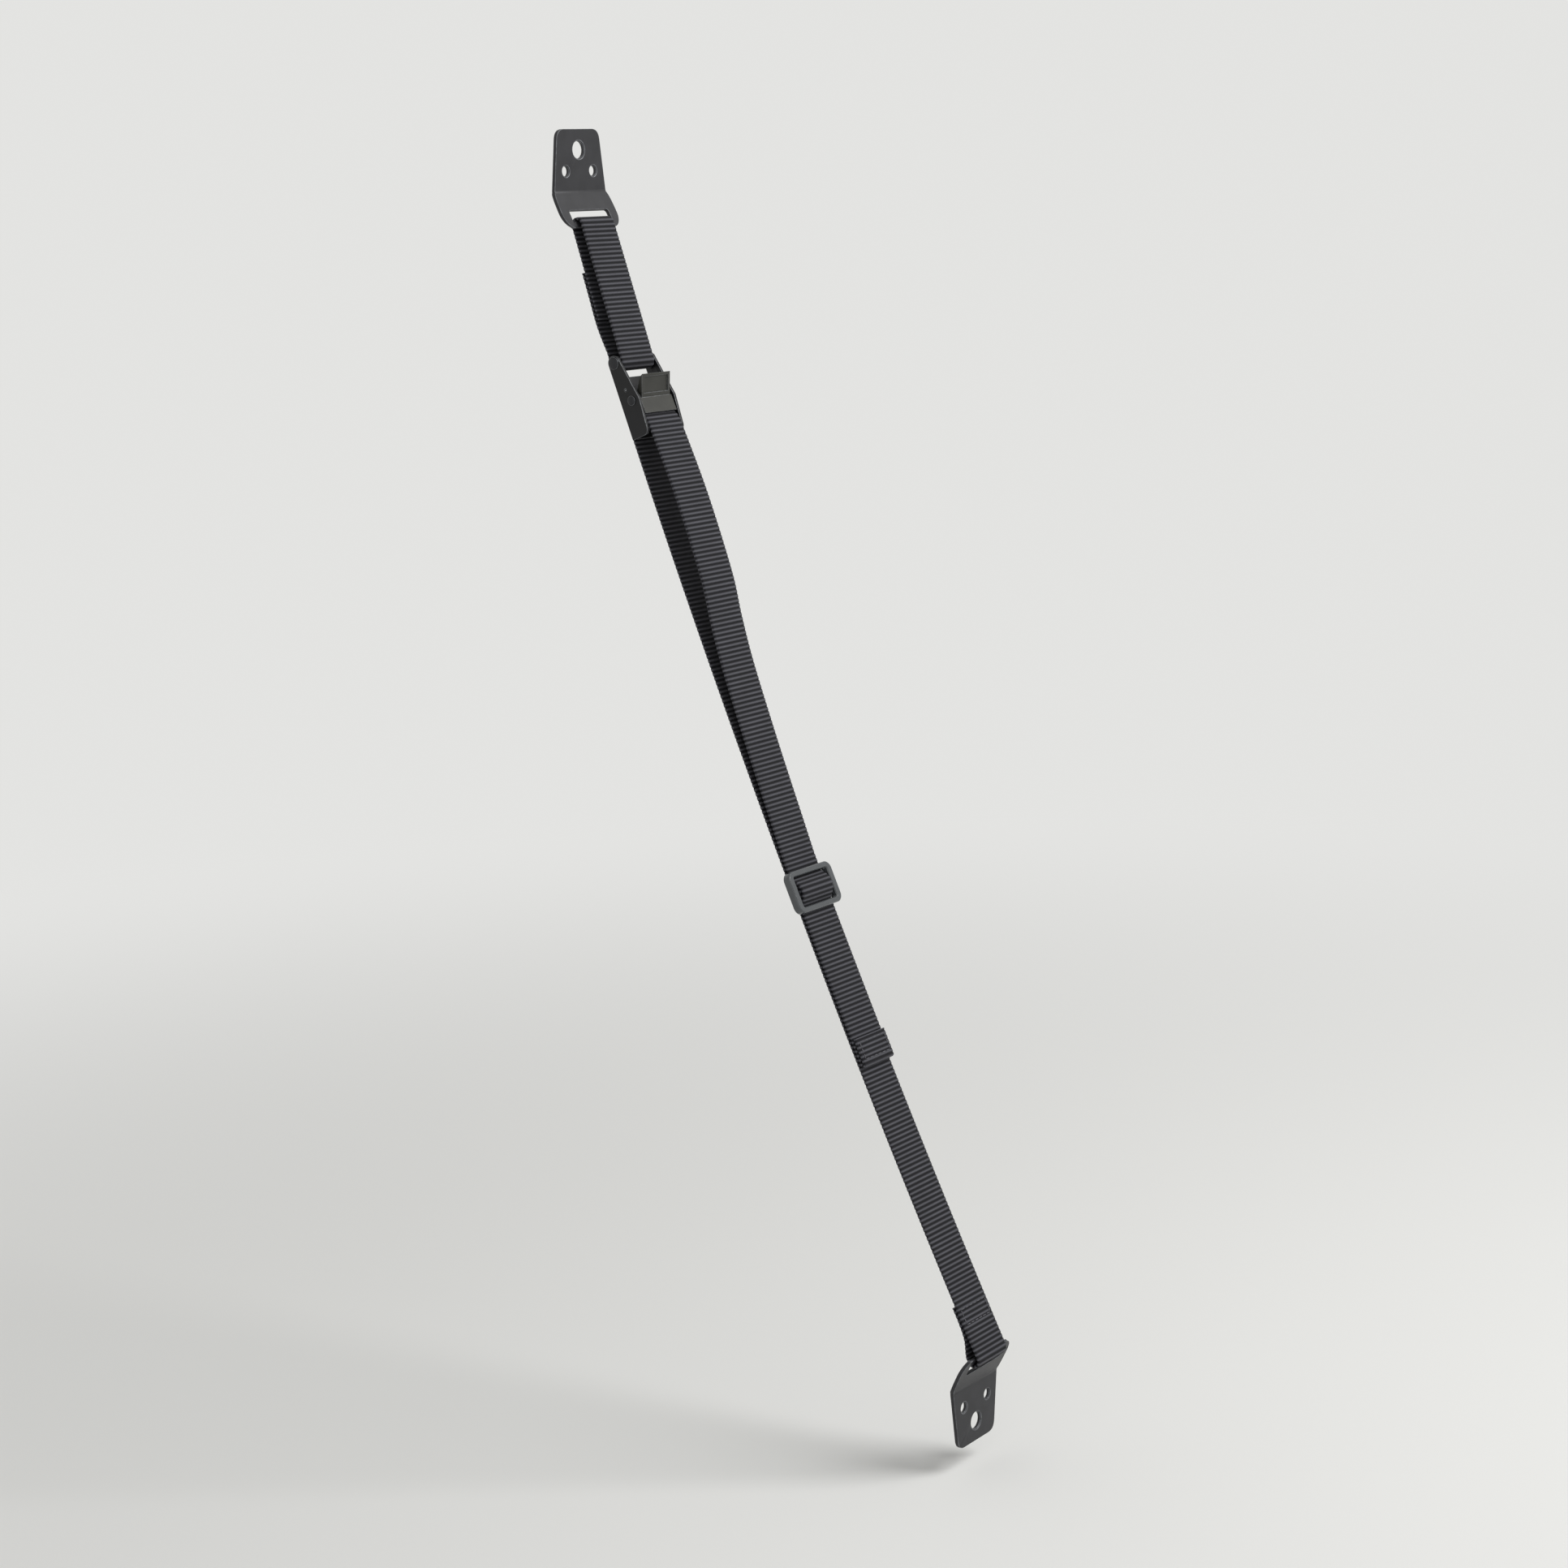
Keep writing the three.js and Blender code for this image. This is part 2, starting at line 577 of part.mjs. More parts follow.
/** The lever's solid section between its cheeks, in (y, z): pad, face and toothed jaw. */
function leverSection() {
  const tilt = rad(PAD_TILT);
  const padFoot = AXLE_DROP - PAD_FOOT_RISE;
  const padTopDrop = padFoot - PAD_LENGTH * Math.cos(tilt);
  const padTopOut = PAD_FOOT_OUT + PAD_LENGTH * Math.sin(tilt);
  const faceFoot = AXLE_DROP + CAM_FACE_HEIGHT;
  const tipRadius = NOSE_WRAP + HALF_WEBBING + CLEARANCE;
  const toothPoint = (angle, radius) => new THREE.Vector2(
    -NOSE_OUT - radius * Math.cos(rad(angle)), -NOSE_DROP + radius * Math.sin(rad(angle)));
  const teeth = [];
  TOOTH_ROWS.forEach((angle, i) => {
    teeth.push(toothPoint(angle, tipRadius));
    const next = TOOTH_ROWS[i + 1];
    if (next !== undefined) teeth.push(toothPoint((angle + next) / 2, tipRadius + TOOTH_DEPTH));
  });
  return new THREE.Shape([
    new THREE.Vector2(-padTopOut, -padTopDrop),
    new THREE.Vector2(-PAD_FOOT_OUT, -padFoot),
    new THREE.Vector2(-CAM_FACE_TOP_OUT, -AXLE_DROP),
    new THREE.Vector2(-CAM_FACE_FOOT_OUT, -faceFoot),
    ...teeth,
    new THREE.Vector2(-AXLE_OUT, -AXLE_DROP - HUB_RADIUS - JAW_HEEL),
    new THREE.Vector2(-AXLE_OUT + JAW_HEEL, -AXLE_DROP),
    new THREE.Vector2(-padTopOut + PAD_THICKNESS * Math.cos(tilt),
      -padTopDrop - PAD_THICKNESS * Math.sin(tilt)),
  ].reverse());
}

function camLever() {
  const section = leverSection();
  const axleY = -AXLE_OUT;
  const axleZ = -AXLE_DROP;
  const tilt = rad(PAD_TILT);

  // The jaw is as wide as the frame lets it be, and the pad above it is narrower.
  const jawHalf = solid(block(CAM_WIDTH, REACH, REACH, 0, 0, axleZ - REACH / 2));
  const padHalf = solid(block(PAD_WIDTH, REACH, REACH, 0, 0, axleZ + REACH / 2));
  const whole = solid(across(section, BUCKLE_INNER_WIDTH));
  let lever = whole.intersect(jawHalf.add(padHalf));
  for (const side of [-1, 1]) {
    const bossWidth = (CAM_WIDTH - PAD_WIDTH) / 2 + CHEEK_THICKNESS;
    const middle = side * (CAM_WIDTH / 2 - bossWidth / 2);
    lever = lever.add(solid(rod(HUB_RADIUS, bossWidth, axleY, axleZ, middle)));
  }

  // Room for the spring between the cheeks
  const cavity = PAD_WIDTH - 2 * CHEEK_THICKNESS;
  const coilRoom = SPRING_COIL_RADIUS + SPRING_WIRE / 2 + CLEARANCE;
  lever = lever.subtract(solid(rod(coilRoom, cavity, axleY, axleZ)));
  const rib = PAD_LENGTH - PAD_THICKNESS;
  const under = across(new THREE.Shape([
    new THREE.Vector2(axleY - coilRoom * Math.cos(tilt), axleZ + coilRoom * Math.sin(tilt)),
    new THREE.Vector2(axleY + coilRoom, axleZ),
    new THREE.Vector2(axleY + coilRoom, axleZ + REACH / 2),
    new THREE.Vector2(-PAD_FOOT_OUT - rib * Math.sin(tilt) + PAD_THICKNESS,
      axleZ + rib * Math.cos(tilt)),
  ].reverse()), cavity);
  lever = lever.subtract(solid(under));
  lever = lever.subtract(solid(
    rod(AXLE_DIAMETER / 2 + CLEARANCE, BUCKLE_INNER_WIDTH, axleY, axleZ)));

  // Sunk panel in the thumb pad
  const panel = block(PAD_WIDTH - 2 * PAD_BORDER, 2 * PAD_RECESS, PAD_LENGTH - 2 * PAD_BORDER,
    0, 0, PAD_LENGTH / 2).rotateX(tilt).translate(0, -PAD_FOOT_OUT, PAD_FOOT_RISE - AXLE_DROP);
  lever = lever.subtract(solid(panel));

  // Notches that cut the jaw's ridges into separate teeth
  const notches = Math.floor(CAM_WIDTH / TOOTH_PITCH);
  const notchDepth = NOSE_WRAP + HALF_WEBBING + CLEARANCE + TOOTH_DEPTH;
  for (let i = 0; i < notches; i += 1) {
    const x = (i - (notches - 1) / 2) * TOOTH_PITCH;
    const notch = [
      [0, -TOOTH_NOTCH / 2], [notchDepth, -TOOTH_NOTCH / 2],
      [notchDepth, TOOTH_NOTCH / 2], [0, TOOTH_NOTCH / 2],
    ];
    lever = lever.subtract(solid(turned(notch, -NOSE_OUT, -NOSE_DROP, x)));
  }
  return surface(lever);
}

/** The spring's wire: a leg through each side plate, a coil beside each cheek, and a bridge between. */
function torsionSpring() {
  const half = BUCKLE_INNER_WIDTH / 2 + SHEET;
  const coilEnd = PAD_WIDTH / 2 - CHEEK_THICKNESS - SPRING_WIRE / 2 - CLEARANCE;
  const coilLength = SPRING_TURNS * (SPRING_WIRE + SPRING_COIL_GAP);
  const turnSteps = 10;
  const side = [];
  const points = Math.round(SPRING_TURNS * turnSteps);
  for (let i = 0; i <= points; i += 1) {
    const angle = 2 * Math.PI * i / turnSteps;
    side.push(new THREE.Vector3(
      -coilEnd + coilLength * i / points,
      -AXLE_OUT + SPRING_COIL_RADIUS * Math.cos(angle),
      -AXLE_DROP - SPRING_COIL_RADIUS * Math.sin(angle)));
  }
  const leg = [
    new THREE.Vector3(-half, -SPRING_HOLE_OUT, -SPRING_HOLE_DROP),
    new THREE.Vector3(-half + SPRING_LEG_STRAIGHT, -SPRING_HOLE_OUT, -SPRING_HOLE_DROP),
    new THREE.Vector3(-coilEnd - SPRING_WIRE / 2,
      -SPRING_HOLE_OUT + SPRING_WIRE / 3, -SPRING_HOLE_DROP - SPRING_WIRE),
  ];
  const bridge = new THREE.Vector3(-coilEnd + coilLength + SPRING_WIRE,
    -AXLE_OUT - SPRING_BRIDGE_OUT, -AXLE_DROP + SPRING_BRIDGE_RISE);
  const left = [...leg, ...side, bridge];
  const right = left.map((point) => new THREE.Vector3(-point.x, point.y, point.z)).reverse();
  const curve = new THREE.CatmullRomCurve3([...left, ...right], false, 'centripetal');
  const section = new THREE.Shape();
  section.absarc(0, 0, SPRING_WIRE / 2, 0, 2 * Math.PI);
  return new THREE.ExtrudeGeometry(section, {
    steps: 110,
    curveSegments: 3,
    bevelEnabled: false,
    extrudePath: curve,
  });
}

// The assembly

const BLACK_PAINT = { color: 0x38383b, roughness: 0.5, metalness: 0.2 };
const WEBBING_BLACK = { color: 0x3c3c42, roughness: 0.9, metalness: 0 };
const BUCKLE_BLACK = { color: 0x232325, roughness: 0.45, metalness: 0.3 };
const BRIGHT_STEEL = { color: 0x9a9ca0, roughness: 0.3, metalness: 0.9 };
const CAM_GREY = { color: 0x4a4b4a, roughness: 0.4, metalness: 0.5 };
const SLIDE_PLASTIC = { color: 0x2c2d30, roughness: 0.35, metalness: 0 };

function piece(name, geometry, finish) {
  const mesh = new THREE.Mesh(geometry, new THREE.MeshStandardMaterial(finish));
  mesh.name = name;
  return mesh;
}

const strap = new THREE.Group();
strap.add(piece('upper_bracket', bracket(), BLACK_PAINT));
strap.add(piece('upper_loop_webbing', upperLoop(), WEBBING_BLACK));
strap.add(inBuckle(
  piece('buckle_frame', buckleFrame(), BUCKLE_BLACK),
  piece('anchor_pin', rivet(ANCHOR_PIN_DIAMETER / 2, ANCHOR_HEAD_DIAMETER / 2, ANCHOR_HEAD_HEIGHT, 0, 0),
    BRIGHT_STEEL),
  piece('cam_lever', camLever(), CAM_GREY),
  piece('cam_axle', rivet(AXLE_DIAMETER / 2, AXLE_HEAD_DIAMETER / 2, AXLE_HEAD_HEIGHT,
    -AXLE_OUT, -AXLE_DROP), BRIGHT_STEEL),
  piece('torsion_spring', torsionSpring(), BRIGHT_STEEL),
));
strap.add(piece('main_webbing', mainWebbing(), WEBBING_BLACK));

const glide = piece('tri_glide', triGlide(), SLIDE_PLASTIC);
const glideBack = HALF_WEBBING + LAYER_PITCH + CLEARANCE - (GLIDE_DEPTH - GLIDE_BAR_DEPTH);
const glidePlace = onStrap(GLIDE_DISTANCE, glideBack);
glide.position.set(0, glidePlace.x, glidePlace.y);
glide.rotation.x = rad(-(BUCKLE_LEAN + (FOOT_LEAN - BUCKLE_LEAN) * GLIDE_DISTANCE / STRAP_LENGTH));
strap.add(glide);

// The lower bracket is turned upside down, its back face still towards the wall, and hung by its bar.
const lower = piece('lower_bracket', bracket(), BLACK_PAINT);
lower.rotation.y = Math.PI;
lower.position.set(0, FOOT_BAR.x - BAR.x, FOOT_BAR.y + BAR.y);
strap.add(lower);

export default strap;
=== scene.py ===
"""Looks of a furniture anti-tip strap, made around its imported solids.

Every length in the mesh code is in metres. X runs across the strap, +Y points into the surface that the
upper bracket is fixed to, and +Z is up. The strap's side view is the plane of Y and Z. A lean is the angle
between the strap and straight down, in degrees, and grows away from that surface.
"""

import json
import math

import bmesh
import bpy
import numpy as np
from bpy.props import FloatProperty, FloatVectorProperty, PointerProperty
from mathutils import Matrix, Vector


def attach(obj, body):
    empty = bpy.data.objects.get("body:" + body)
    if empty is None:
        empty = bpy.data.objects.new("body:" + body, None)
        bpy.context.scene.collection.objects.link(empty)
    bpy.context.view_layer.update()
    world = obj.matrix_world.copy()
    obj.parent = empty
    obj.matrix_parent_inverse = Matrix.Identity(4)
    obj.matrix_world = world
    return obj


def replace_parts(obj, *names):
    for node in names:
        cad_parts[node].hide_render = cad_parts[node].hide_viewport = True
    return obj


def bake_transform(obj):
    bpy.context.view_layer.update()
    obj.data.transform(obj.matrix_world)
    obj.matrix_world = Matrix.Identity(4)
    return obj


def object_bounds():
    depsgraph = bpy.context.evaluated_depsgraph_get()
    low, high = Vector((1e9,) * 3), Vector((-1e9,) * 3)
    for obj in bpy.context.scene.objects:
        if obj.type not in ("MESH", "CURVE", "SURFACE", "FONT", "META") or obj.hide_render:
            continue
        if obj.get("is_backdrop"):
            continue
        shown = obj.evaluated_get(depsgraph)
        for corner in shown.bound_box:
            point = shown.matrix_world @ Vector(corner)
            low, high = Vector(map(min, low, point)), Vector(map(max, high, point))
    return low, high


bl_info = {
    "name": "Anti-tip strap",
    "version": (1, 0, 0),
    "blender": (4, 5, 0),
    "location": "View3D > Sidebar > Strap",
    "description": "Builds the webbing, brackets and cam buckle of a furniture anti-tip strap",
    "category": "Object",
}

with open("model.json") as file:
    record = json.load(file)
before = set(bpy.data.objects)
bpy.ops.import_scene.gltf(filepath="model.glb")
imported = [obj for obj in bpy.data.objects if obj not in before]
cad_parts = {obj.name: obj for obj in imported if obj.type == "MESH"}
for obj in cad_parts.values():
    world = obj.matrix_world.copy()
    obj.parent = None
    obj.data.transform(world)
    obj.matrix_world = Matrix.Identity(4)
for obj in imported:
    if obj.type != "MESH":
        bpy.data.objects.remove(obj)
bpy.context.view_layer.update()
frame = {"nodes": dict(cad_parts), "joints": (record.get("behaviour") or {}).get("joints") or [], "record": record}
BODY_OF = {
    node: body
    for body, nodes in frame["record"]["behaviour"]["bodies"].items()
    for node in nodes
}
MM = 0.001


def linear(colour):
    """An sRGB hex colour as linear red, green and blue."""
    parts = [int(colour[i : i + 2], 16) / 255 for i in (1, 3, 5)]
    return tuple(
        part / 12.92 if part <= 0.04045 else ((part + 0.055) / 1.055) ** 2.4
        for part in parts
    )


# Settings


class StrapWebbingSettings(bpy.types.PropertyGroup):
    width: FloatProperty(
        name="Width",
        description="Width of the webbing",
        default=25 * MM,
        unit="LENGTH",
    )
    thickness: FloatProperty(
        name="Thickness",
        description="Thickness of one layer of webbing over its ribs",
        default=1.5 * MM,
        unit="LENGTH",
    )
    rib_pitch: FloatProperty(
        name="Rib pitch",
        description="Distance from one rib of the weave to the next",
        default=2.3 * MM,
        unit="LENGTH",
    )
    rib_depth: FloatProperty(
        name="Rib depth",
        description="Depth of the valleys between ribs on each face",
        default=0.3 * MM,
        unit="LENGTH",
    )
    # Painted highlight: this pale colour stands for light falling on the crest of each rib.
    crest: FloatVectorProperty(
        name="Rib colour",
        description="Colour of the yarn on the crest of a rib",
        default=linear("#55555b"),
        subtype="COLOR",
    )
    # Painted shade: this dark colour stands for shade in the valleys between the ribs.
    valley_shade: FloatVectorProperty(
        name="Valley colour",
        description="Colour of the yarn between the ribs",
        default=linear("#131317"),
        subtype="COLOR",
    )
    thread: FloatVectorProperty(
        name="Thread colour",
        description="Colour of the sewing thread",
        default=linear("#55555b"),
        subtype="COLOR",
    )
    stitch: FloatProperty(
        name="Stitch length",
        description="Length of one stitch of the sewn laps",
        default=3.2 * MM,
        unit="LENGTH",
    )


class StrapMetalSettings(bpy.types.PropertyGroup):
    rim: FloatProperty(
        name="Plate rim",
        description="Radius that tumbling and coating leave on the edges of the pressed plates",
        default=0.2 * MM,
        unit="LENGTH",
    )
    fine_rim: FloatProperty(
        name="Fine rim",
        description="Radius on the edges of the cam lever and the rivets",
        default=0.1 * MM,
        unit="LENGTH",
    )
    bracket: FloatVectorProperty(
        name="Bracket colour",
        description="Colour of the brackets' coating",
        default=linear("#2c2c2f"),
        subtype="COLOR",
    )
    buckle: FloatVectorProperty(
        name="Buckle colour",
        description="Colour of the buckle's side plates and floor",
        default=linear("#141416"),
        subtype="COLOR",
    )
    lever: FloatVectorProperty(
        name="Lever colour",
        description="Colour of the cam lever's coating",
        default=linear("#33332f"),
        subtype="COLOR",
    )
    # Pale colour painted on the rims: partly metal where the coating is rubbed thin, partly painted highlight.
    edge_wear_and_highlight: FloatVectorProperty(
        name="Worn colour",
        description="Colour of metal where the coating is rubbed thin",
        default=linear("#a2a5aa"),
        subtype="COLOR",
    )
    pin: FloatVectorProperty(
        name="Pin colour",
        description="Colour of the plating on the riveted pins",
        default=linear("#232427"),
        subtype="COLOR",
    )
    wire: FloatVectorProperty(
        name="Wire colour",
        description="Colour of the spring wire",
        default=linear("#8d8f93"),
        subtype="COLOR",
    )


class StrapSlideSettings(bpy.types.PropertyGroup):
    colour: FloatVectorProperty(
        name="Slide colour",
        description="Colour of the moulded slide",
        default=linear("#46494c"),
        subtype="COLOR",
    )
    rim: FloatProperty(
        name="Slide rim",
        description="Radius on the slide's moulded edges",
        default=0.1 * MM,
        unit="LENGTH",
    )


class StrapStageSettings(bpy.types.PropertyGroup):
    floor: FloatVectorProperty(
        name="Floor colour",
        description="Colour of the floor",
        default=linear("#ececea"),
        subtype="COLOR",
    )
    daylight: FloatProperty(
        name="Daylight",
        description="Strength of the even light from all round",
        default=0.5,
    )
    key: FloatProperty(
        name="Key light",
        description="Power of the large soft lamp at the upper right",
        default=30.0,
        unit="POWER",
    )
    fill: FloatProperty(
        name="Fill light",
        description="Power of the soft lamp at the left",
        default=4.0,
        unit="POWER",
    )
    lens: FloatProperty(
        name="Lens",
        description="Focal length of the camera, in millimetres",
        default=71.0,
    )


# Nodes and meshes


def add_node(tree, kind, values=None, links=None, **settings):
    """Adds a node: settings are its own, values go to its sockets and links join sockets to them."""
    node = tree.nodes.new(kind)
    for name, value in settings.items():
        setattr(node, name, value)
    for name, value in (values or {}).items():
        node.inputs[name].default_value = value
    for name, socket in (links or {}).items():
        tree.links.new(socket, node.inputs[name])
    return node


def new_material(name, **values):
    """A material and its shader, with the given values on the shader's own sockets."""
    material = bpy.data.materials.new(name)
    material.use_nodes = True
    shader = material.node_tree.nodes["Principled BSDF"]
    for socket, value in values.items():
        shader.inputs[socket.replace("_", " ")].default_value = value
    return material, material.node_tree, shader


def set_ramp(ramp, *stops):
    """Sets a colour ramp's stops, each a place and a linear colour or a grey."""
    elements = ramp.color_ramp.elements
    while len(elements) > len(stops):
        elements.remove(elements[-1])
    while len(elements) < len(stops):
        elements.new(1.0)
    for element, (place, colour) in zip(elements, stops):
        grey = (colour,) * 3 if isinstance(colour, (int, float)) else tuple(colour)
        element.position = place
        element.color = (*grey, 1.0)


def new_piece(name, mesh, material, body):
    """An object that rides on a body, finished in one material."""
    piece = bpy.data.objects.new(name, mesh)
    bpy.context.scene.collection.objects.link(piece)
    mesh.materials.clear()
    mesh.materials.append(material)
    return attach(piece, body)


def shade(mesh, degrees=35):
    """Smooth shading, with edges sharper than an angle kept crisp."""
    mesh.shade_smooth()
    mesh.set_sharp_from_angle(angle=math.radians(degrees))


def face_out(mesh):
    """Turns every face of a closed mesh outwards."""
    shape = bmesh.new()
    shape.from_mesh(mesh)
    bmesh.ops.recalc_face_normals(shape, faces=shape.faces)
    shape.to_mesh(mesh)
    shape.free()


# Corners closer than this are one corner.
WELD = 0.01 * MM
# Faces that meet within this many degrees are one flat face.
FLAT_WITHIN = 1.0
# Edges sharper than this many degrees get a rim, in this many steps.
SHARP_OVER = 28
RIM_STEPS = 3
# Flat faces over this area, in square metres, are shaded flat, so that no rim shades into them.
BROAD_FACE = 60 * MM * MM


def softened(node, rim):
    """The node's shape with its sharp edges rounded and marked for a pale colour that is partly rubbed coating and
    partly painted highlight, as a new mesh.
    """
    shape = bmesh.new()
    shape.from_mesh(frame["nodes"][node].data)
    bmesh.ops.remove_doubles(shape, verts=shape.verts, dist=WELD)
    bmesh.ops.dissolve_limit(
        shape,
        angle_limit=math.radians(FLAT_WITHIN),
        verts=shape.verts,
        edges=shape.edges,
    )
    rubbed = shape.faces.layers.float.new("rubbed")
    sharp = [
        edge
        for edge in shape.edges
        if edge.is_manifold
        and edge.calc_face_angle(0.0) > math.radians(SHARP_OVER)
    ]
    made = bmesh.ops.bevel(
        shape,
        geom=sharp,
        offset=rim,
        offset_type="OFFSET",
        segments=RIM_STEPS,
        profile=0.5,
        affect="EDGES",
        clamp_overlap=False,
        loop_slide=False,
    )
    # The rim faces get the pale colour of rubbed coating and painted highlight.
    for face in made["faces"]:
        face[rubbed] = 1.0
    broad = shape.faces.layers.int.new("broad")
    for face in shape.faces:
        face[broad] = int(face.calc_area() > BROAD_FACE)
    cornered = [face for face in shape.faces if len(face.verts) > 4]
    bmesh.ops.triangulate(shape, faces=cornered)
    bmesh.ops.recalc_face_normals(shape, faces=shape.faces)
    mesh = bpy.data.meshes.new(node)
    shape.to_mesh(mesh)
    shape.free()
    shade(mesh)
    for face, mark in zip(mesh.polygons, mesh.attributes["broad"].data):
        face.use_smooth = not mark.value
    return mesh


def dress(node, name, mesh, material):
    """A new piece that stands for one node of the solids, on the node's own body."""
    piece = new_piece(name, mesh, material, BODY_OF[node])
    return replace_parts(piece, node)


# Finishes


def coated_steel(name, colour, edge_wear_and_highlight, grain=0.5 * MM, roughness=0.38, wear=0.5):
    """Metal under a thin satin coat: an even tone with a fine orange peel, and rims painted pale, partly as rubbed
    coating and partly as painted highlight.
    """
    material, tree, shader = new_material(
        name, Metallic=0.15, Roughness=roughness, IOR=1.5, Specular_IOR_Level=0.35
    )
    place = add_node(tree, "ShaderNodeTexCoord").outputs["Object"]
    cloud = add_node(
        tree,
        "ShaderNodeTexNoise",
        values={"Scale": 1 / (9 * MM), "Detail": 4.0},
        links={"Vector": place},
    )
    tone = add_node(tree, "ShaderNodeValToRGB", links={"Fac": cloud.outputs["Fac"]})
    set_ramp(
        tone, (0.35, [c * 0.86 for c in colour]), (0.65, [c * 1.12 for c in colour])
    )
    # The rims' pale colour is partly rubbed coating and partly a painted highlight of light catching the edges;
    # wear sets how pale they go.
    rim = add_node(tree, "ShaderNodeAttribute", attribute_name="rubbed").outputs["Fac"]
    scuffs = add_node(
        tree,
        "ShaderNodeTexNoise",
        values={"Scale": 1 / (2.5 * MM), "Detail": 5.0, "Roughness": 0.7},
        links={"Vector": place},
    )
    patchy = add_node(tree, "ShaderNodeValToRGB", links={"Fac": scuffs.outputs["Fac"]})
    set_ramp(patchy, (0.4, wear * 0.35), (0.62, wear))
    rubbed = add_node(
        tree,
        "ShaderNodeMath",
        operation="MULTIPLY",
        links={0: rim, 1: patchy.outputs["Color"]},
    )
    mixed = add_node(
        tree,
        "ShaderNodeMix",
        data_type="RGBA",
        links={"Factor": rubbed.outputs["Value"]},
    )
    tree.links.new(tone.outputs["Color"], mixed.inputs["A"])
    mixed.inputs["B"].default_value = (*edge_wear_and_highlight, 1.0)
    tree.links.new(mixed.outputs["Result"], shader.inputs["Base Color"])
    peel = add_node(
        tree,
        "ShaderNodeTexNoise",
        values={"Scale": 1 / grain, "Detail": 2.0},
        links={"Vector": place},
    )
    gloss = add_node(
        tree,
        "ShaderNodeMapRange",
        values={"To Min": roughness - 0.06, "To Max": roughness + 0.1},
        links={"Value": peel.outputs["Fac"]},
    )
    tree.links.new(gloss.outputs["Result"], shader.inputs["Roughness"])
    bump = add_node(
        tree,
        "ShaderNodeBump",
        values={"Strength": 0.25, "Distance": 0.03 * MM},
        links={"Height": peel.outputs["Fac"]},
    )
    tree.links.new(bump.outputs["Normal"], shader.inputs["Normal"])
    return material


def drawn_wire(colour):
    """Drawn spring steel: a bright metal with fine darker patches left by the die."""
    material, tree, shader = new_material(
        "drawn_spring_steel", Metallic=1.0, Roughness=0.3
    )
    place = add_node(tree, "ShaderNodeTexCoord").outputs["Object"]
    lines = add_node(
        tree,
        "ShaderNodeTexNoise",
        values={"Scale": 1 / (0.6 * MM), "Detail": 5.0},
        links={"Vector": place},
    )
    tone = add_node(tree, "ShaderNodeValToRGB", links={"Fac": lines.outputs["Fac"]})
    set_ramp(tone, (0.3, [c * 0.6 for c in colour]), (0.7, colour))
    tree.links.new(tone.outputs["Color"], shader.inputs["Base Color"])
    return material


def moulded_acetal(colour):
    """Moulded acetal: a dark, slightly waxy gloss with the faint ripple of a polished tool."""
    material, tree, shader = new_material(
        "moulded_acetal", Roughness=0.24, IOR=1.48, Coat_Weight=0.35, Coat_Roughness=0.12
    )
    place = add_node(tree, "ShaderNodeTexCoord").outputs["Object"]
    ripple = add_node(
        tree,
        "ShaderNodeTexNoise",
        values={"Scale": 1 / (4 * MM), "Detail": 3.0},
        links={"Vector": place},
    )
    tone = add_node(tree, "ShaderNodeValToRGB", links={"Fac": ripple.outputs["Fac"]})
    set_ramp(
        tone, (0.3, [c * 0.9 for c in colour]), (0.7, [c * 1.08 for c in colour])
    )
    tree.links.new(tone.outputs["Color"], shader.inputs["Base Color"])
    bump = add_node(
        tree,
        "ShaderNodeBump",
        values={"Strength": 0.2, "Distance": 0.05 * MM},
        links={"Height": ripple.outputs["Fac"]},
    )
    tree.links.new(bump.outputs["Normal"], shader.inputs["Normal"])
    return material


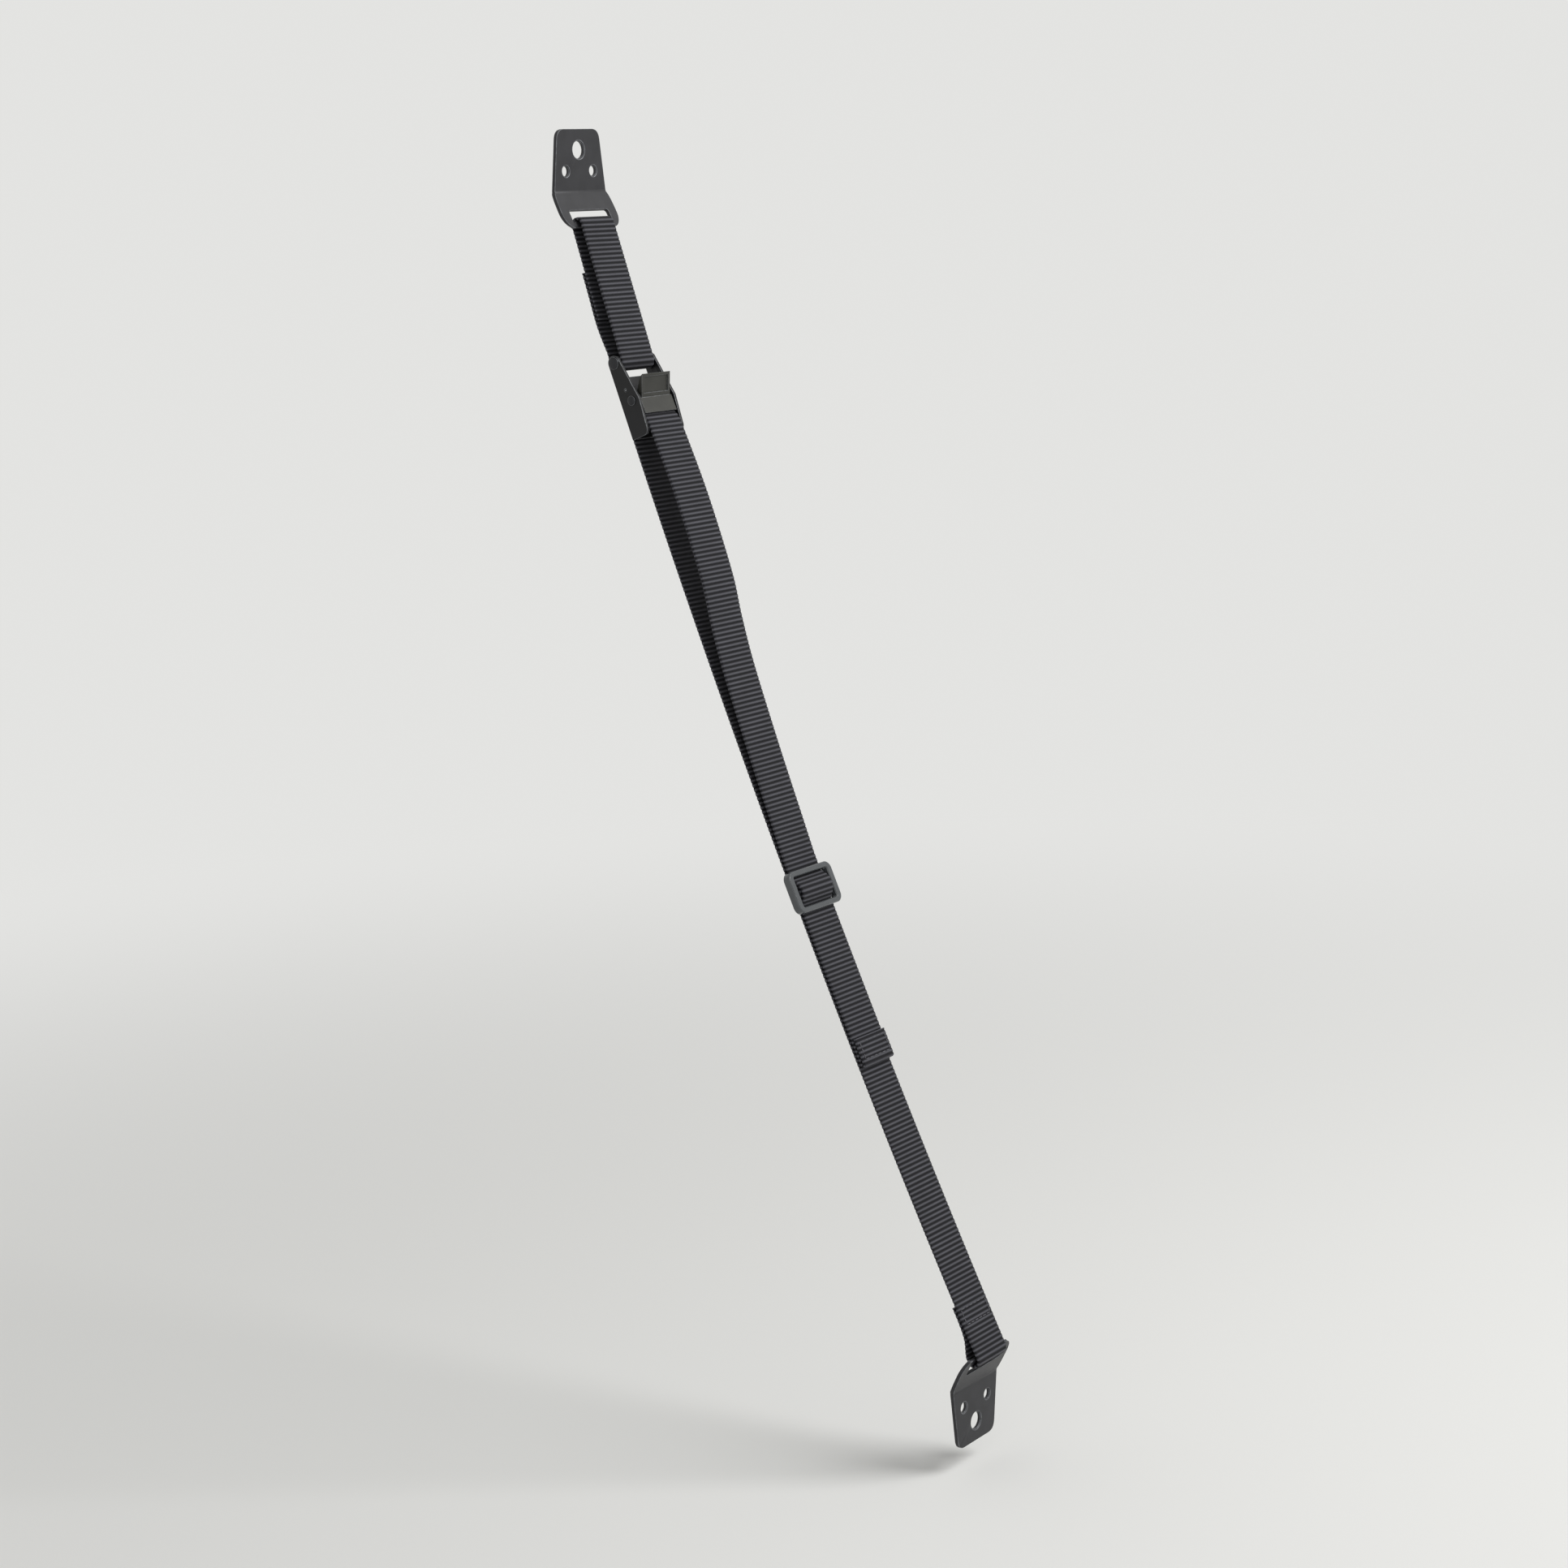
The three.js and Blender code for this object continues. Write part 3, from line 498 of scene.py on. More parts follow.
def woven_polyester(name, crest, valley_shade):
    """Ribbed polyester webbing: crests painted pale as highlight and valleys painted dark as shade, and fine warp
    yarns across each rib.
    """
    material, tree, shader = new_material(
        name,
        Roughness=0.75,
        IOR=1.5,
        Specular_IOR_Level=0.15,
        Sheen_Weight=0.05,
        Sheen_Roughness=0.5,
    )
    rib = add_node(tree, "ShaderNodeAttribute", attribute_name="rib").outputs["Fac"]
    cloth = add_node(tree, "ShaderNodeUVMap", uv_map="weave").outputs["UV"]

    # The real warp yarns are 0.4 mm apart. They are drawn 0.8 mm apart, so that they show.
    yarns = add_node(
        tree,
        "ShaderNodeTexWave",
        wave_type="BANDS",
        bands_direction="X",
        values={"Scale": math.pi / 10 / (0.8 * MM), "Distortion": 1.2, "Detail": 1.0},
        links={"Vector": cloth},
    )
    # Painted light: the ramp paints a narrow pale highlight on each rib's crest and dark shade in the valleys
    # between the ribs.
    tone = add_node(tree, "ShaderNodeValToRGB", links={"Fac": rib})
    middle = [(a + b) / 2.6 for a, b in zip(crest, valley_shade)]
    set_ramp(tone, (0.0, valley_shade), (0.72, valley_shade), (0.9, middle), (0.99, crest))
    wear = add_node(
        tree,
        "ShaderNodeTexNoise",
        values={"Scale": 1 / (14 * MM), "Detail": 6.0, "Roughness": 0.65},
        links={"Vector": cloth},
    )
    shading = add_node(
        tree,
        "ShaderNodeMapRange",
        values={"To Min": 0.72, "To Max": 1.25},
        links={"Value": wear.outputs["Fac"]},
    )
    ticks = add_node(
        tree,
        "ShaderNodeMapRange",
        values={"To Min": 0.78, "To Max": 1.12},
        links={"Value": yarns.outputs["Fac"]},
    )
    both = add_node(
        tree,
        "ShaderNodeMath",
        operation="MULTIPLY",
        links={0: shading.outputs["Result"], 1: ticks.outputs["Result"]},
    )
    lit = add_node(
        tree,
        "ShaderNodeVectorMath",
        operation="SCALE",
        links={0: tone.outputs["Color"], "Scale": both.outputs["Value"]},
    )
    tree.links.new(lit.outputs["Vector"], shader.inputs["Base Color"])
    bump = add_node(
        tree,
        "ShaderNodeBump",
        values={"Strength": 0.7, "Distance": 0.06 * MM},
        links={"Height": yarns.outputs["Fac"]},
    )
    tree.links.new(bump.outputs["Normal"], shader.inputs["Normal"])
    return material


def bonded_thread(colour):
    """Bonded polyester thread: a slightly shiny twist, a little paler than the webbing."""
    material, tree, shader = new_material("bonded_thread", Roughness=0.55, IOR=1.5)
    place = add_node(tree, "ShaderNodeTexCoord").outputs["Object"]
    twist = add_node(
        tree,
        "ShaderNodeTexNoise",
        values={"Scale": 1 / (0.7 * MM), "Detail": 2.0},
        links={"Vector": place},
    )
    tone = add_node(tree, "ShaderNodeValToRGB", links={"Fac": twist.outputs["Fac"]})
    set_ramp(tone, (0.35, [c * 0.7 for c in colour]), (0.65, [c * 1.2 for c in colour]))
    tree.links.new(tone.outputs["Color"], shader.inputs["Base Color"])
    return material


# The webbing's route in its side view, as the solids have it. Points are (y, z).

CLEARANCE = 0.3 * MM
LAYER_GAP = 0.25 * MM
SEWN_LAP = 24 * MM
BAR_HEIGHT = 3.8 * MM
ANCHOR_PIN_DIAMETER = 5 * MM
NOSE_RADIUS = 4.2 * MM
NOSE_OUT = 0.6 * MM
NOSE_DROP = 31 * MM
LOOP_LEAN = 17.5
LOOP_LENGTH = 70 * MM
LOOP_EASE = 3 * MM
BUCKLE_LEAN = 20.2
FOOT_LEAN = 26.2
STRAP_LENGTH = 482 * MM
FOOT_LOOP_SPREAD = 0.8 * MM
TAIL_EXIT_ANGLE = 25
TAIL_EXIT_STRAIGHT = 3 * MM
TAIL_PAST_GLIDE = 89 * MM
TAIL_HEM = 13 * MM
GLIDE_DISTANCE = 242 * MM
GLIDE_WAVE = 8 * MM
GLIDE_RISE_OVER_BAR = 1.6 * MM + 1.5 * CLEARANCE - 1.8 * MM
# Degrees between the points of a bend
BEND_STEP = 6

# The tail stands off the strap: distance from the nose, and gap between the two centre lines, both in
# millimetres.
TAIL_BOW = (
    (8, 12.3),
    (42, 13.7),
    (82, 12.4),
    (104, 9.2),
    (128, 6.6),
    (168, 4.4),
    (205, 2.8),
)


def lean(start, degrees, drop, out=0.0):
    """The point that lies drop down a leaning line from a start, and out from it."""
    angle = math.radians(degrees)
    return np.array(
        (
            start[0] - drop * math.sin(angle) - out * math.cos(angle),
            start[1] - drop * math.cos(angle) + out * math.sin(angle),
        )
    )


def arc(centre, radius, start, end):
    """Points of an arc, from one angle to another, in degrees from +Y towards +Z."""
    steps = max(2, math.ceil(abs(end - start) / BEND_STEP))
    angles = np.radians(np.linspace(start, end, steps + 1))
    return [centre + radius * np.array((math.cos(a), math.sin(a))) for a in angles]


def along_line(points):
    """The distance of each point from the start of the line."""
    steps = np.linalg.norm(np.diff(np.array(points), axis=0), axis=1)
    return np.concatenate(((0.0,), np.cumsum(steps)))


def evenly(points, count):
    """A number of points at even distances along a line, both ends counted."""
    line = np.array(points)
    places = along_line(line)
    wanted = np.linspace(0, places[-1], count)
    return np.stack([np.interp(wanted, places, line[:, i]) for i in (0, 1)], axis=1)


def smooth(points, pieces=16):
    """A smooth line through points."""
    line = []
    last = len(points) - 1
    for i in range(last):
        before, here, there, after = (
            points[min(max(i + k, 0), last)] for k in (-1, 0, 1, 2)
        )
        out = (there - before) / 2
        into = (after - here) / 2
        for t in np.arange(pieces) / pieces:
            line.append(
                (2 * here - 2 * there + out + into) * t**3
                + (3 * there - 3 * here - 2 * out - into) * t**2
                + out * t
                + here
            )
    return [*line, points[last]]


def beside(points, distance):
    """The points of a line, moved to its left."""
    line = np.array(points)
    along = np.gradient(line, axis=0)
    along /= np.linalg.norm(along, axis=1, keepdims=True)
    return line + distance * np.stack((-along[:, 1], along[:, 0]), axis=1)


class Route:
    """The places that the webbing passes, worked out from its thickness."""

    def __init__(self, thickness):
        self.half = thickness / 2
        self.pitch = thickness + LAYER_GAP
        self.bar_wrap = BAR_HEIGHT / 2 + CLEARANCE + self.half
        self.pin_wrap = ANCHOR_PIN_DIAMETER / 2 + CLEARANCE + self.half
        self.nose_wrap = NOSE_RADIUS + CLEARANCE + self.half
        self.bar = self.pivot("loop_swing")
        self.pin = self.pivot("buckle_swing")
        self.foot_bar = self.pivot("lower_bracket_swing")
        self.nose = lean(self.pin, BUCKLE_LEAN, NOSE_DROP, NOSE_OUT)
        self.start = lean(self.nose, BUCKLE_LEAN, 0, -self.nose_wrap)
        self.rise = 2 * thickness + LAYER_GAP + GLIDE_RISE_OVER_BAR + self.half

    @staticmethod
    def pivot(joint):
        """Where a joint of the record turns, in the side view."""
        found = next(j for j in frame["joints"] if j["name"] == joint)
        return np.array(found["pos_m"][1:])

    def turn(self, distance):
        """The strap's lean, at a distance from the nose."""
        return BUCKLE_LEAN + (FOOT_LEAN - BUCKLE_LEAN) * distance / STRAP_LENGTH

    def strap(self, distance, out=0.0):
        """A point at a distance from the nose along the strap, and out from its centre line."""
        turn = self.turn(distance) - BUCKLE_LEAN
        half = math.radians(turn) / 2
        chord = distance if half == 0 else distance * math.sin(half) / half
        foot = lean(self.start, BUCKLE_LEAN + turn / 2, chord)
        return lean(foot, BUCKLE_LEAN + turn, 0, out)

    def strap_line(self, start, end):
        """The strap's centre line, waved out over the slide's middle bar."""
        line = []
        for distance in np.linspace(start, end, round((end - start) / MM) + 1):
            share = min(max((distance - GLIDE_DISTANCE) / GLIDE_WAVE, -1), 1)
            rise = self.rise * (1 + math.cos(math.pi * share)) / 2
            line.append(self.strap(distance, rise))
        return line

    def loop(self):
        """The upper loop, from the lap's free end round the pin and the bar to the end under it."""
        spread = math.degrees(math.asin((self.pin_wrap - self.bar_wrap) / LOOP_LENGTH))
        back = LOOP_LEAN - spread
        top = (LOOP_LENGTH - SEWN_LAP) / 2
        first = lean(self.bar, back, top, -self.bar_wrap - self.pitch)
        outer = 180 - LOOP_LEAN - spread
        return [
            *smooth(
                [
                    first,
                    lean(first, back, SEWN_LAP / 2),
                    lean(first, back, SEWN_LAP + LOOP_EASE),
                    lean(self.pin, back, -2 * LOOP_EASE, -self.pin_wrap),
                ]
            ),
            *arc(self.pin, self.pin_wrap, -back, outer - 360),
            *arc(self.bar, self.bar_wrap, outer, -back),
            lean(self.bar, back, top + SEWN_LAP, -self.bar_wrap),
        ]

    def main(self):
        """The main webbing, from its lap round the lower bar and the nose to the tail's hem."""
        top = STRAP_LENGTH - self.bar_wrap - SEWN_LAP
        foot = STRAP_LENGTH - self.bar_wrap
        exit_angle = math.radians(TAIL_EXIT_ANGLE)
        leave = lean(
            self.nose,
            BUCKLE_LEAN,
            -self.nose_wrap * math.sin(exit_angle),
            self.nose_wrap * math.cos(exit_angle),
        )
        glide = GLIDE_DISTANCE - GLIDE_WAVE
        end = GLIDE_DISTANCE + TAIL_PAST_GLIDE
        end_lean = self.turn(end)
        fold = self.strap(end, 1.5 * self.pitch)
        return [
            *smooth(
                [
                    self.strap(top, -self.pitch),
                    self.strap(top + SEWN_LAP / 3, -self.pitch),
                    self.strap(foot - SEWN_LAP / 3, -self.pitch - FOOT_LOOP_SPREAD),
                    self.strap(foot, -2 * self.bar_wrap + FOOT_LOOP_SPREAD / 2),
                    self.strap(STRAP_LENGTH, -2 * self.bar_wrap),
                ]
            ),
            *arc(self.foot_bar, self.bar_wrap, -FOOT_LEAN, -180 - FOOT_LEAN)[1:-1],
            *self.strap_line(0, STRAP_LENGTH)[::-1],
            *arc(
                self.nose,
                self.nose_wrap,
                -BUCKLE_LEAN,
                180 - BUCKLE_LEAN - TAIL_EXIT_ANGLE,
            )[1:-1],
            *smooth(
                [
                    leave,
                    lean(leave, BUCKLE_LEAN + TAIL_EXIT_ANGLE, TAIL_EXIT_STRAIGHT),
                    *(self.strap(d * MM, out * MM) for d, out in TAIL_BOW),
                    self.strap(glide - GLIDE_WAVE, self.pitch),
                ]
            ),
            *beside(self.strap_line(glide - GLIDE_WAVE / 2, end), -self.pitch),
            *arc(fold, self.pitch / 2, -end_lean, -180 - end_lean)[1:],
            self.strap(end - TAIL_HEM, 2 * self.pitch),
        ]


# Points along one rib, and points across the flat of the webbing
RIB_STEPS = 6
FLAT_STEPS = 7
SELVEDGE = 0.7 * MM
# Degrees round the selvedge, from its face to its outermost line
SELVEDGE_TURNS = (60, 25)
# How far the selvedge draws in between two ribs
SCALLOP = 0.18 * MM


def webbing_mesh(name, line, webbing):
    """Webbing along a line of the side view, with round ribs across it and a firm round selvedge."""
    length = along_line(line)[-1]
    ribs = round(2 * length / webbing.rib_pitch) / 2
    count = int(ribs * RIB_STEPS) + 1
    line = evenly(line, count)
    along = np.gradient(line, axis=0)
    along /= np.linalg.norm(along, axis=1, keepdims=True)
    left = np.stack((-along[:, 1], along[:, 0]), axis=1)
    phase = (np.arange(count) / RIB_STEPS + 0.5) % 1.0 * 2 - 1
    crest = np.sqrt(1 - np.minimum(np.abs(phase), 1) ** 2)
    half = webbing.thickness / 2 - webbing.rib_depth * (1 - crest)

    # One side of the section, from the left selvedge to the right, and then back on the other side
    side = webbing.width / 2
    flat = side - SELVEDGE
    rounds = np.radians(SELVEDGE_TURNS)
    edge = flat + SELVEDGE * np.sin(rounds)
    middle = np.linspace(-flat, flat, FLAT_STEPS)
    across = np.array([-side, *-edge, *middle, *edge[::-1], side])
    slope = np.cos(rounds)
    lift = np.array([0, *slope, *np.ones(FLAT_STEPS), *slope[::-1], 0])
    places = np.concatenate((across, across[-2:0:-1]))
    lifts = np.concatenate((lift, -lift[-2:0:-1]))
    ring = len(places)
    scallop = 1 - (1 - crest) * SCALLOP / side

    x = scallop[:, None] * places[None, :]
    rise = half[:, None] * lifts[None, :]
    y = line[:, 0, None] + left[:, 0, None] * rise
    z = line[:, 1, None] + left[:, 1, None] * rise
    verts = np.stack((x, y, z), axis=2).reshape(-1, 3)
    i, j = np.meshgrid(np.arange(count - 1), np.arange(ring), indexing="ij")
    k = (j + 1) % ring
    quads = np.stack(
        (i * ring + j, i * ring + k, (i + 1) * ring + k, (i + 1) * ring + j), axis=2
    ).reshape(-1, 4)
    ends = [list(range(ring))[::-1], [(count - 1) * ring + n for n in range(ring)]]
    mesh = bpy.data.meshes.new(name)
    mesh.from_pydata(verts.tolist(), [], quads.tolist() + ends)
    # The rib profile, kept for the cloth's ramp that paints highlight on the crests and shade in the valleys.
    rib_shading_mask = mesh.attributes.new("rib", "FLOAT", "POINT")
    rib_shading_mask.data.foreach_set("value", np.repeat(crest, ring).astype(np.float32))
    layer = mesh.uv_layers.new(name="weave")
    step = length / (count - 1)
    corner = np.empty(len(mesh.loops), int)
    mesh.loops.foreach_get("vertex_index", corner)
    uv = np.stack((x.reshape(-1)[corner], corner // ring * step), axis=1)
    layer.data.foreach_set("uv", uv.astype(np.float32).reshape(-1))
    mesh.validate()
    face_out(mesh)
    shade(mesh, 70)
    return mesh, length


# Pieces


class STRAP_OT_brackets(bpy.types.Operator):
    """Finish the two pressed brackets in their satin coat"""

    bl_idname = "strap.brackets"
    bl_label = "Brackets"

    def execute(self, context):
        metal = context.scene.strap_metal
        coat = coated_steel("satin_coated_steel", metal.bracket, metal.edge_wear_and_highlight)
        for node in ("upper_bracket", "lower_bracket"):
            mesh = softened(node, metal.rim)
            dress(node, f"{node}_plate", mesh, coat)
        return {"FINISHED"}


class STRAP_OT_webbing(bpy.types.Operator):
    """Weave the upper loop and the main webbing along their routes"""

    bl_idname = "strap.webbing"
    bl_label = "Webbing"

    def execute(self, context):
        webbing = context.scene.strap_webbing
        route = Route(webbing.thickness)
        cloth = woven_polyester("woven_polyester", webbing.crest, webbing.valley_shade)
        for node, line, held, rests in (
            ("upper_loop_webbing", route.loop(), "hung", "upper_bracket"),
            ("main_webbing", route.main(), "stretched", "lower_bracket"),
        ):
            mesh, length = webbing_mesh(node, line, webbing)
            piece = dress(node, f"{node}_cloth", mesh, cloth)
        return {"FINISHED"}


THREAD_RADIUS = 0.24 * MM
THREAD_SINK = 0.05 * MM
THREAD_SIDES = 6
# A stitch stands this far off the webbing in its middle, and leaves this share of its length free at each
# end.
STITCH_RISE = 0.18 * MM
STITCH_GAP = 0.08
STITCH_STEPS = 6
# Distance of a seam from the edges of the webbing and of the lap
SEAM_INSET = 2.2 * MM


class STRAP_OT_stitching(bpy.types.Operator):
    """Sew the lap of the upper loop, the lap of the main webbing and the tail's hem"""

    bl_idname = "strap.stitching"
    bl_label = "Stitching"

    def execute(self, context):
        webbing = context.scene.strap_webbing
        route = Route(webbing.thickness)
        thread = bonded_thread(webbing.thread)
        top = (LOOP_LENGTH - SEWN_LAP) / 2
        spread = math.asin((route.pin_wrap - route.bar_wrap) / LOOP_LENGTH)
        back = LOOP_LEAN - math.degrees(spread)
        lap = STRAP_LENGTH - route.bar_wrap - SEWN_LAP
        end = GLIDE_DISTANCE + TAIL_PAST_GLIDE
        face = route.half - THREAD_SINK
        double = 2 * route.pitch + face
        hem = end - TAIL_HEM
        half = SEWN_LAP / 2

        def on_loop(distance, out):
            return lean(route.bar, back, distance, -route.bar_wrap - route.pitch + out)

        seams = (
            ("upper_lap_stitches", "upper_loop", on_loop, top, SEWN_LAP, -face, -1),
            ("lower_lap_back_stitches", "buckle", route.strap, lap, half, -route.pitch - face, -1),
            ("lower_lap_front_stitches", "buckle", route.strap, lap, half, face, 1),
            ("hem_stitches", "buckle", route.strap, hem, TAIL_HEM, double, 1),
        )
        for name, body, place, start, length, out, side in seams:
            mesh = seam_mesh(name, place, start, length, out, side, webbing)
            new_piece(name, mesh, thread, body)
        return {"FINISHED"}


def seam_mesh(name, place, start, length, out, side, webbing):
    """A box of stitches, each a short thread that dips into the webbing at both ends."""
    reach = webbing.width / 2 - SEAM_INSET
    rows = []
    across = round(2 * reach / webbing.stitch)
    down = max(1, round((length - 2 * SEAM_INSET) / webbing.stitch))
    for i in range(across):
        x0 = -reach + 2 * reach * i / across
        x1 = x0 + 2 * reach / across
        for d in (start + SEAM_INSET, start + length - SEAM_INSET):
            rows.append(((x0, d), (x1, d)))
    for i in range(down):
        d0 = start + SEAM_INSET + (length - 2 * SEAM_INSET) * i / down
        d1 = d0 + (length - 2 * SEAM_INSET) / down
        for x in (-reach, reach):
            rows.append(((x, d0), (x, d1)))
    verts = []
    faces = []
    for (x0, d0), (x1, d1) in rows:
        base = len(verts)
        for k in range(STITCH_STEPS + 1):
            t = STITCH_GAP + (1 - 2 * STITCH_GAP) * k / STITCH_STEPS
            x = x0 + (x1 - x0) * t
            d = d0 + (d1 - d0) * t
            bow = math.sin(math.pi * k / STITCH_STEPS)
            thick = THREAD_RADIUS * (0.45 + 0.55 * bow**0.5)
            for n in range(THREAD_SIDES):
                angle = 2 * math.pi * n / THREAD_SIDES
                wide = thick * math.cos(angle)
                high = side * (thick * math.sin(angle) + STITCH_RISE * bow)
                if x0 == x1:
                    y, z = place(d, out + high)
                    verts.append((x + wide, y, z))
                else:
                    y, z = place(d + wide, out + high)
                    verts.append((x, y, z))
        for k in range(STITCH_STEPS):
            here = base + k * THREAD_SIDES
            there = here + THREAD_SIDES
            for n in range(THREAD_SIDES):
                m = (n + 1) % THREAD_SIDES
                faces.append((here + n, here + m, there + m, there + n))
        foot = base + STITCH_STEPS * THREAD_SIDES
        faces.append(tuple(base + n for n in range(THREAD_SIDES))[::-1])
        faces.append(tuple(foot + n for n in range(THREAD_SIDES)))
    mesh = bpy.data.meshes.new(name)
    mesh.from_pydata(verts, [], faces)
    face_out(mesh)
    shade(mesh, 80)
    return mesh


class STRAP_OT_buckle(bpy.types.Operator):
    """Finish the buckle's black frame and its riveted pins"""

    bl_idname = "strap.buckle"
    bl_label = "Buckle frame and pins"

    def execute(self, context):
        metal = context.scene.strap_metal
        black = coated_steel(
            "black_electrocoated_steel", metal.buckle, metal.edge_wear_and_highlight, roughness=0.34
        )
        mesh = softened("buckle_frame", metal.rim)
        dress("buckle_frame", "buckle_frame_plates", mesh, black)
        # The rivets' rims are painted paler still, as rubbed plating and painted highlight.
        steel = coated_steel(
            "dark_plated_steel", metal.pin, metal.edge_wear_and_highlight, roughness=0.36, wear=0.8
        )
        for node in ("anchor_pin", "cam_axle"):
            dress(node, f"{node}_rivet", softened(node, metal.fine_rim), steel)
        return {"FINISHED"}


class STRAP_OT_lever(bpy.types.Operator):
    """Finish the cam lever's casting, with its rims pale as rubbed coating and painted highlight"""

    bl_idname = "strap.lever"
    bl_label = "Cam lever"

    def execute(self, context):
        metal = context.scene.strap_metal
        zinc = coated_steel(
            "coated_zinc_casting", metal.lever, metal.edge_wear_and_highlight, grain=0.35 * MM
        )
        mesh = softened("cam_lever", metal.fine_rim)
        dress("cam_lever", "cam_lever_casting", mesh, zinc)
        return {"FINISHED"}


class STRAP_OT_spring(bpy.types.Operator):
    """Smooth the torsion spring's wire"""

    bl_idname = "strap.spring"
    bl_label = "Torsion spring"

    def execute(self, context):
        wire = drawn_wire(context.scene.strap_metal.wire)
        coil = bmesh.new()
        coil.from_mesh(frame["nodes"]["torsion_spring"].data)
        bmesh.ops.remove_doubles(coil, verts=coil.verts, dist=WELD)
        bmesh.ops.recalc_face_normals(coil, faces=coil.faces)
        mesh = bpy.data.meshes.new("torsion_spring")
        coil.to_mesh(mesh)
        coil.free()
        shade(mesh, 60)
        piece = bpy.data.objects.new("torsion_spring_wire", mesh)
        context.scene.collection.objects.link(piece)
        mesh.materials.clear()
        mesh.materials.append(wire)
        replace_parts(piece, "torsion_spring")
        axle = Route.pivot("cam_press")
        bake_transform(piece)
        return {"FINISHED"}


class STRAP_OT_slide(bpy.types.Operator):
    """Finish the moulded slide that keeps the tail"""

    bl_idname = "strap.slide"
    bl_label = "Slide"

    def execute(self, context):
        slide = context.scene.strap_slide
        acetal = moulded_acetal(slide.colour)
        dress("tri_glide", "tri_glide_moulding", softened("tri_glide", slide.rim), acetal)
        return {"FINISHED"}


# Stage

BACK_GLOW = 0.92
FLOOR_REACH = 6.0
FLOOR_DROP = 12 * MM
# Distances from the middle of the floor between which it fades into the background, in metres
FADE_FROM = 0.25
FADE_TO = 1.5


def fading_floor(colour):
    """Matt painted floor that fades with distance into the even tone of the background."""
    material, tree, shader = new_material(
        "painted_floor", Base_Color=(*colour, 1.0), Roughness=0.85
    )
    place = add_node(tree, "ShaderNodeTexCoord").outputs["Object"]
    away = add_node(
        tree, "ShaderNodeVectorMath", operation="LENGTH", links={0: place}
    )
    share = add_node(
        tree,
        "ShaderNodeMapRange",
        interpolation_type="SMOOTHSTEP",
        values={"From Min": FADE_FROM, "From Max": FADE_TO},
        links={"Value": away.outputs["Value"]},
    )
    glow = add_node(
        tree,
        "ShaderNodeEmission",
        values={"Color": (*colour, 1.0), "Strength": BACK_GLOW},
    )
    mixed = add_node(
        tree,
        "ShaderNodeMixShader",
        links={
            0: share.outputs["Result"],
            1: shader.outputs["BSDF"],
            2: glow.outputs["Emission"],
        },
    )
    surface = tree.nodes["Material Output"].inputs["Surface"]
    tree.links.new(mixed.outputs["Shader"], surface)
    return material


# The lamps' places, from the middle of the strap, and their sizes
KEY_PLACE = Vector((0.7, -1.4, 1.3))
KEY_SIZE = 1.1
FILL_PLACE = Vector((-1.7, -0.5, 0.5))
FILL_SIZE = 1.6
# The camera stands where the photograph was taken from, and looks at the middle of the strap.
CAMERA_PLACE = Vector((-1.1903, -0.9925, -0.0103))
CAMERA_UP = Vector((0.24711, 0.13978, 0.95885))


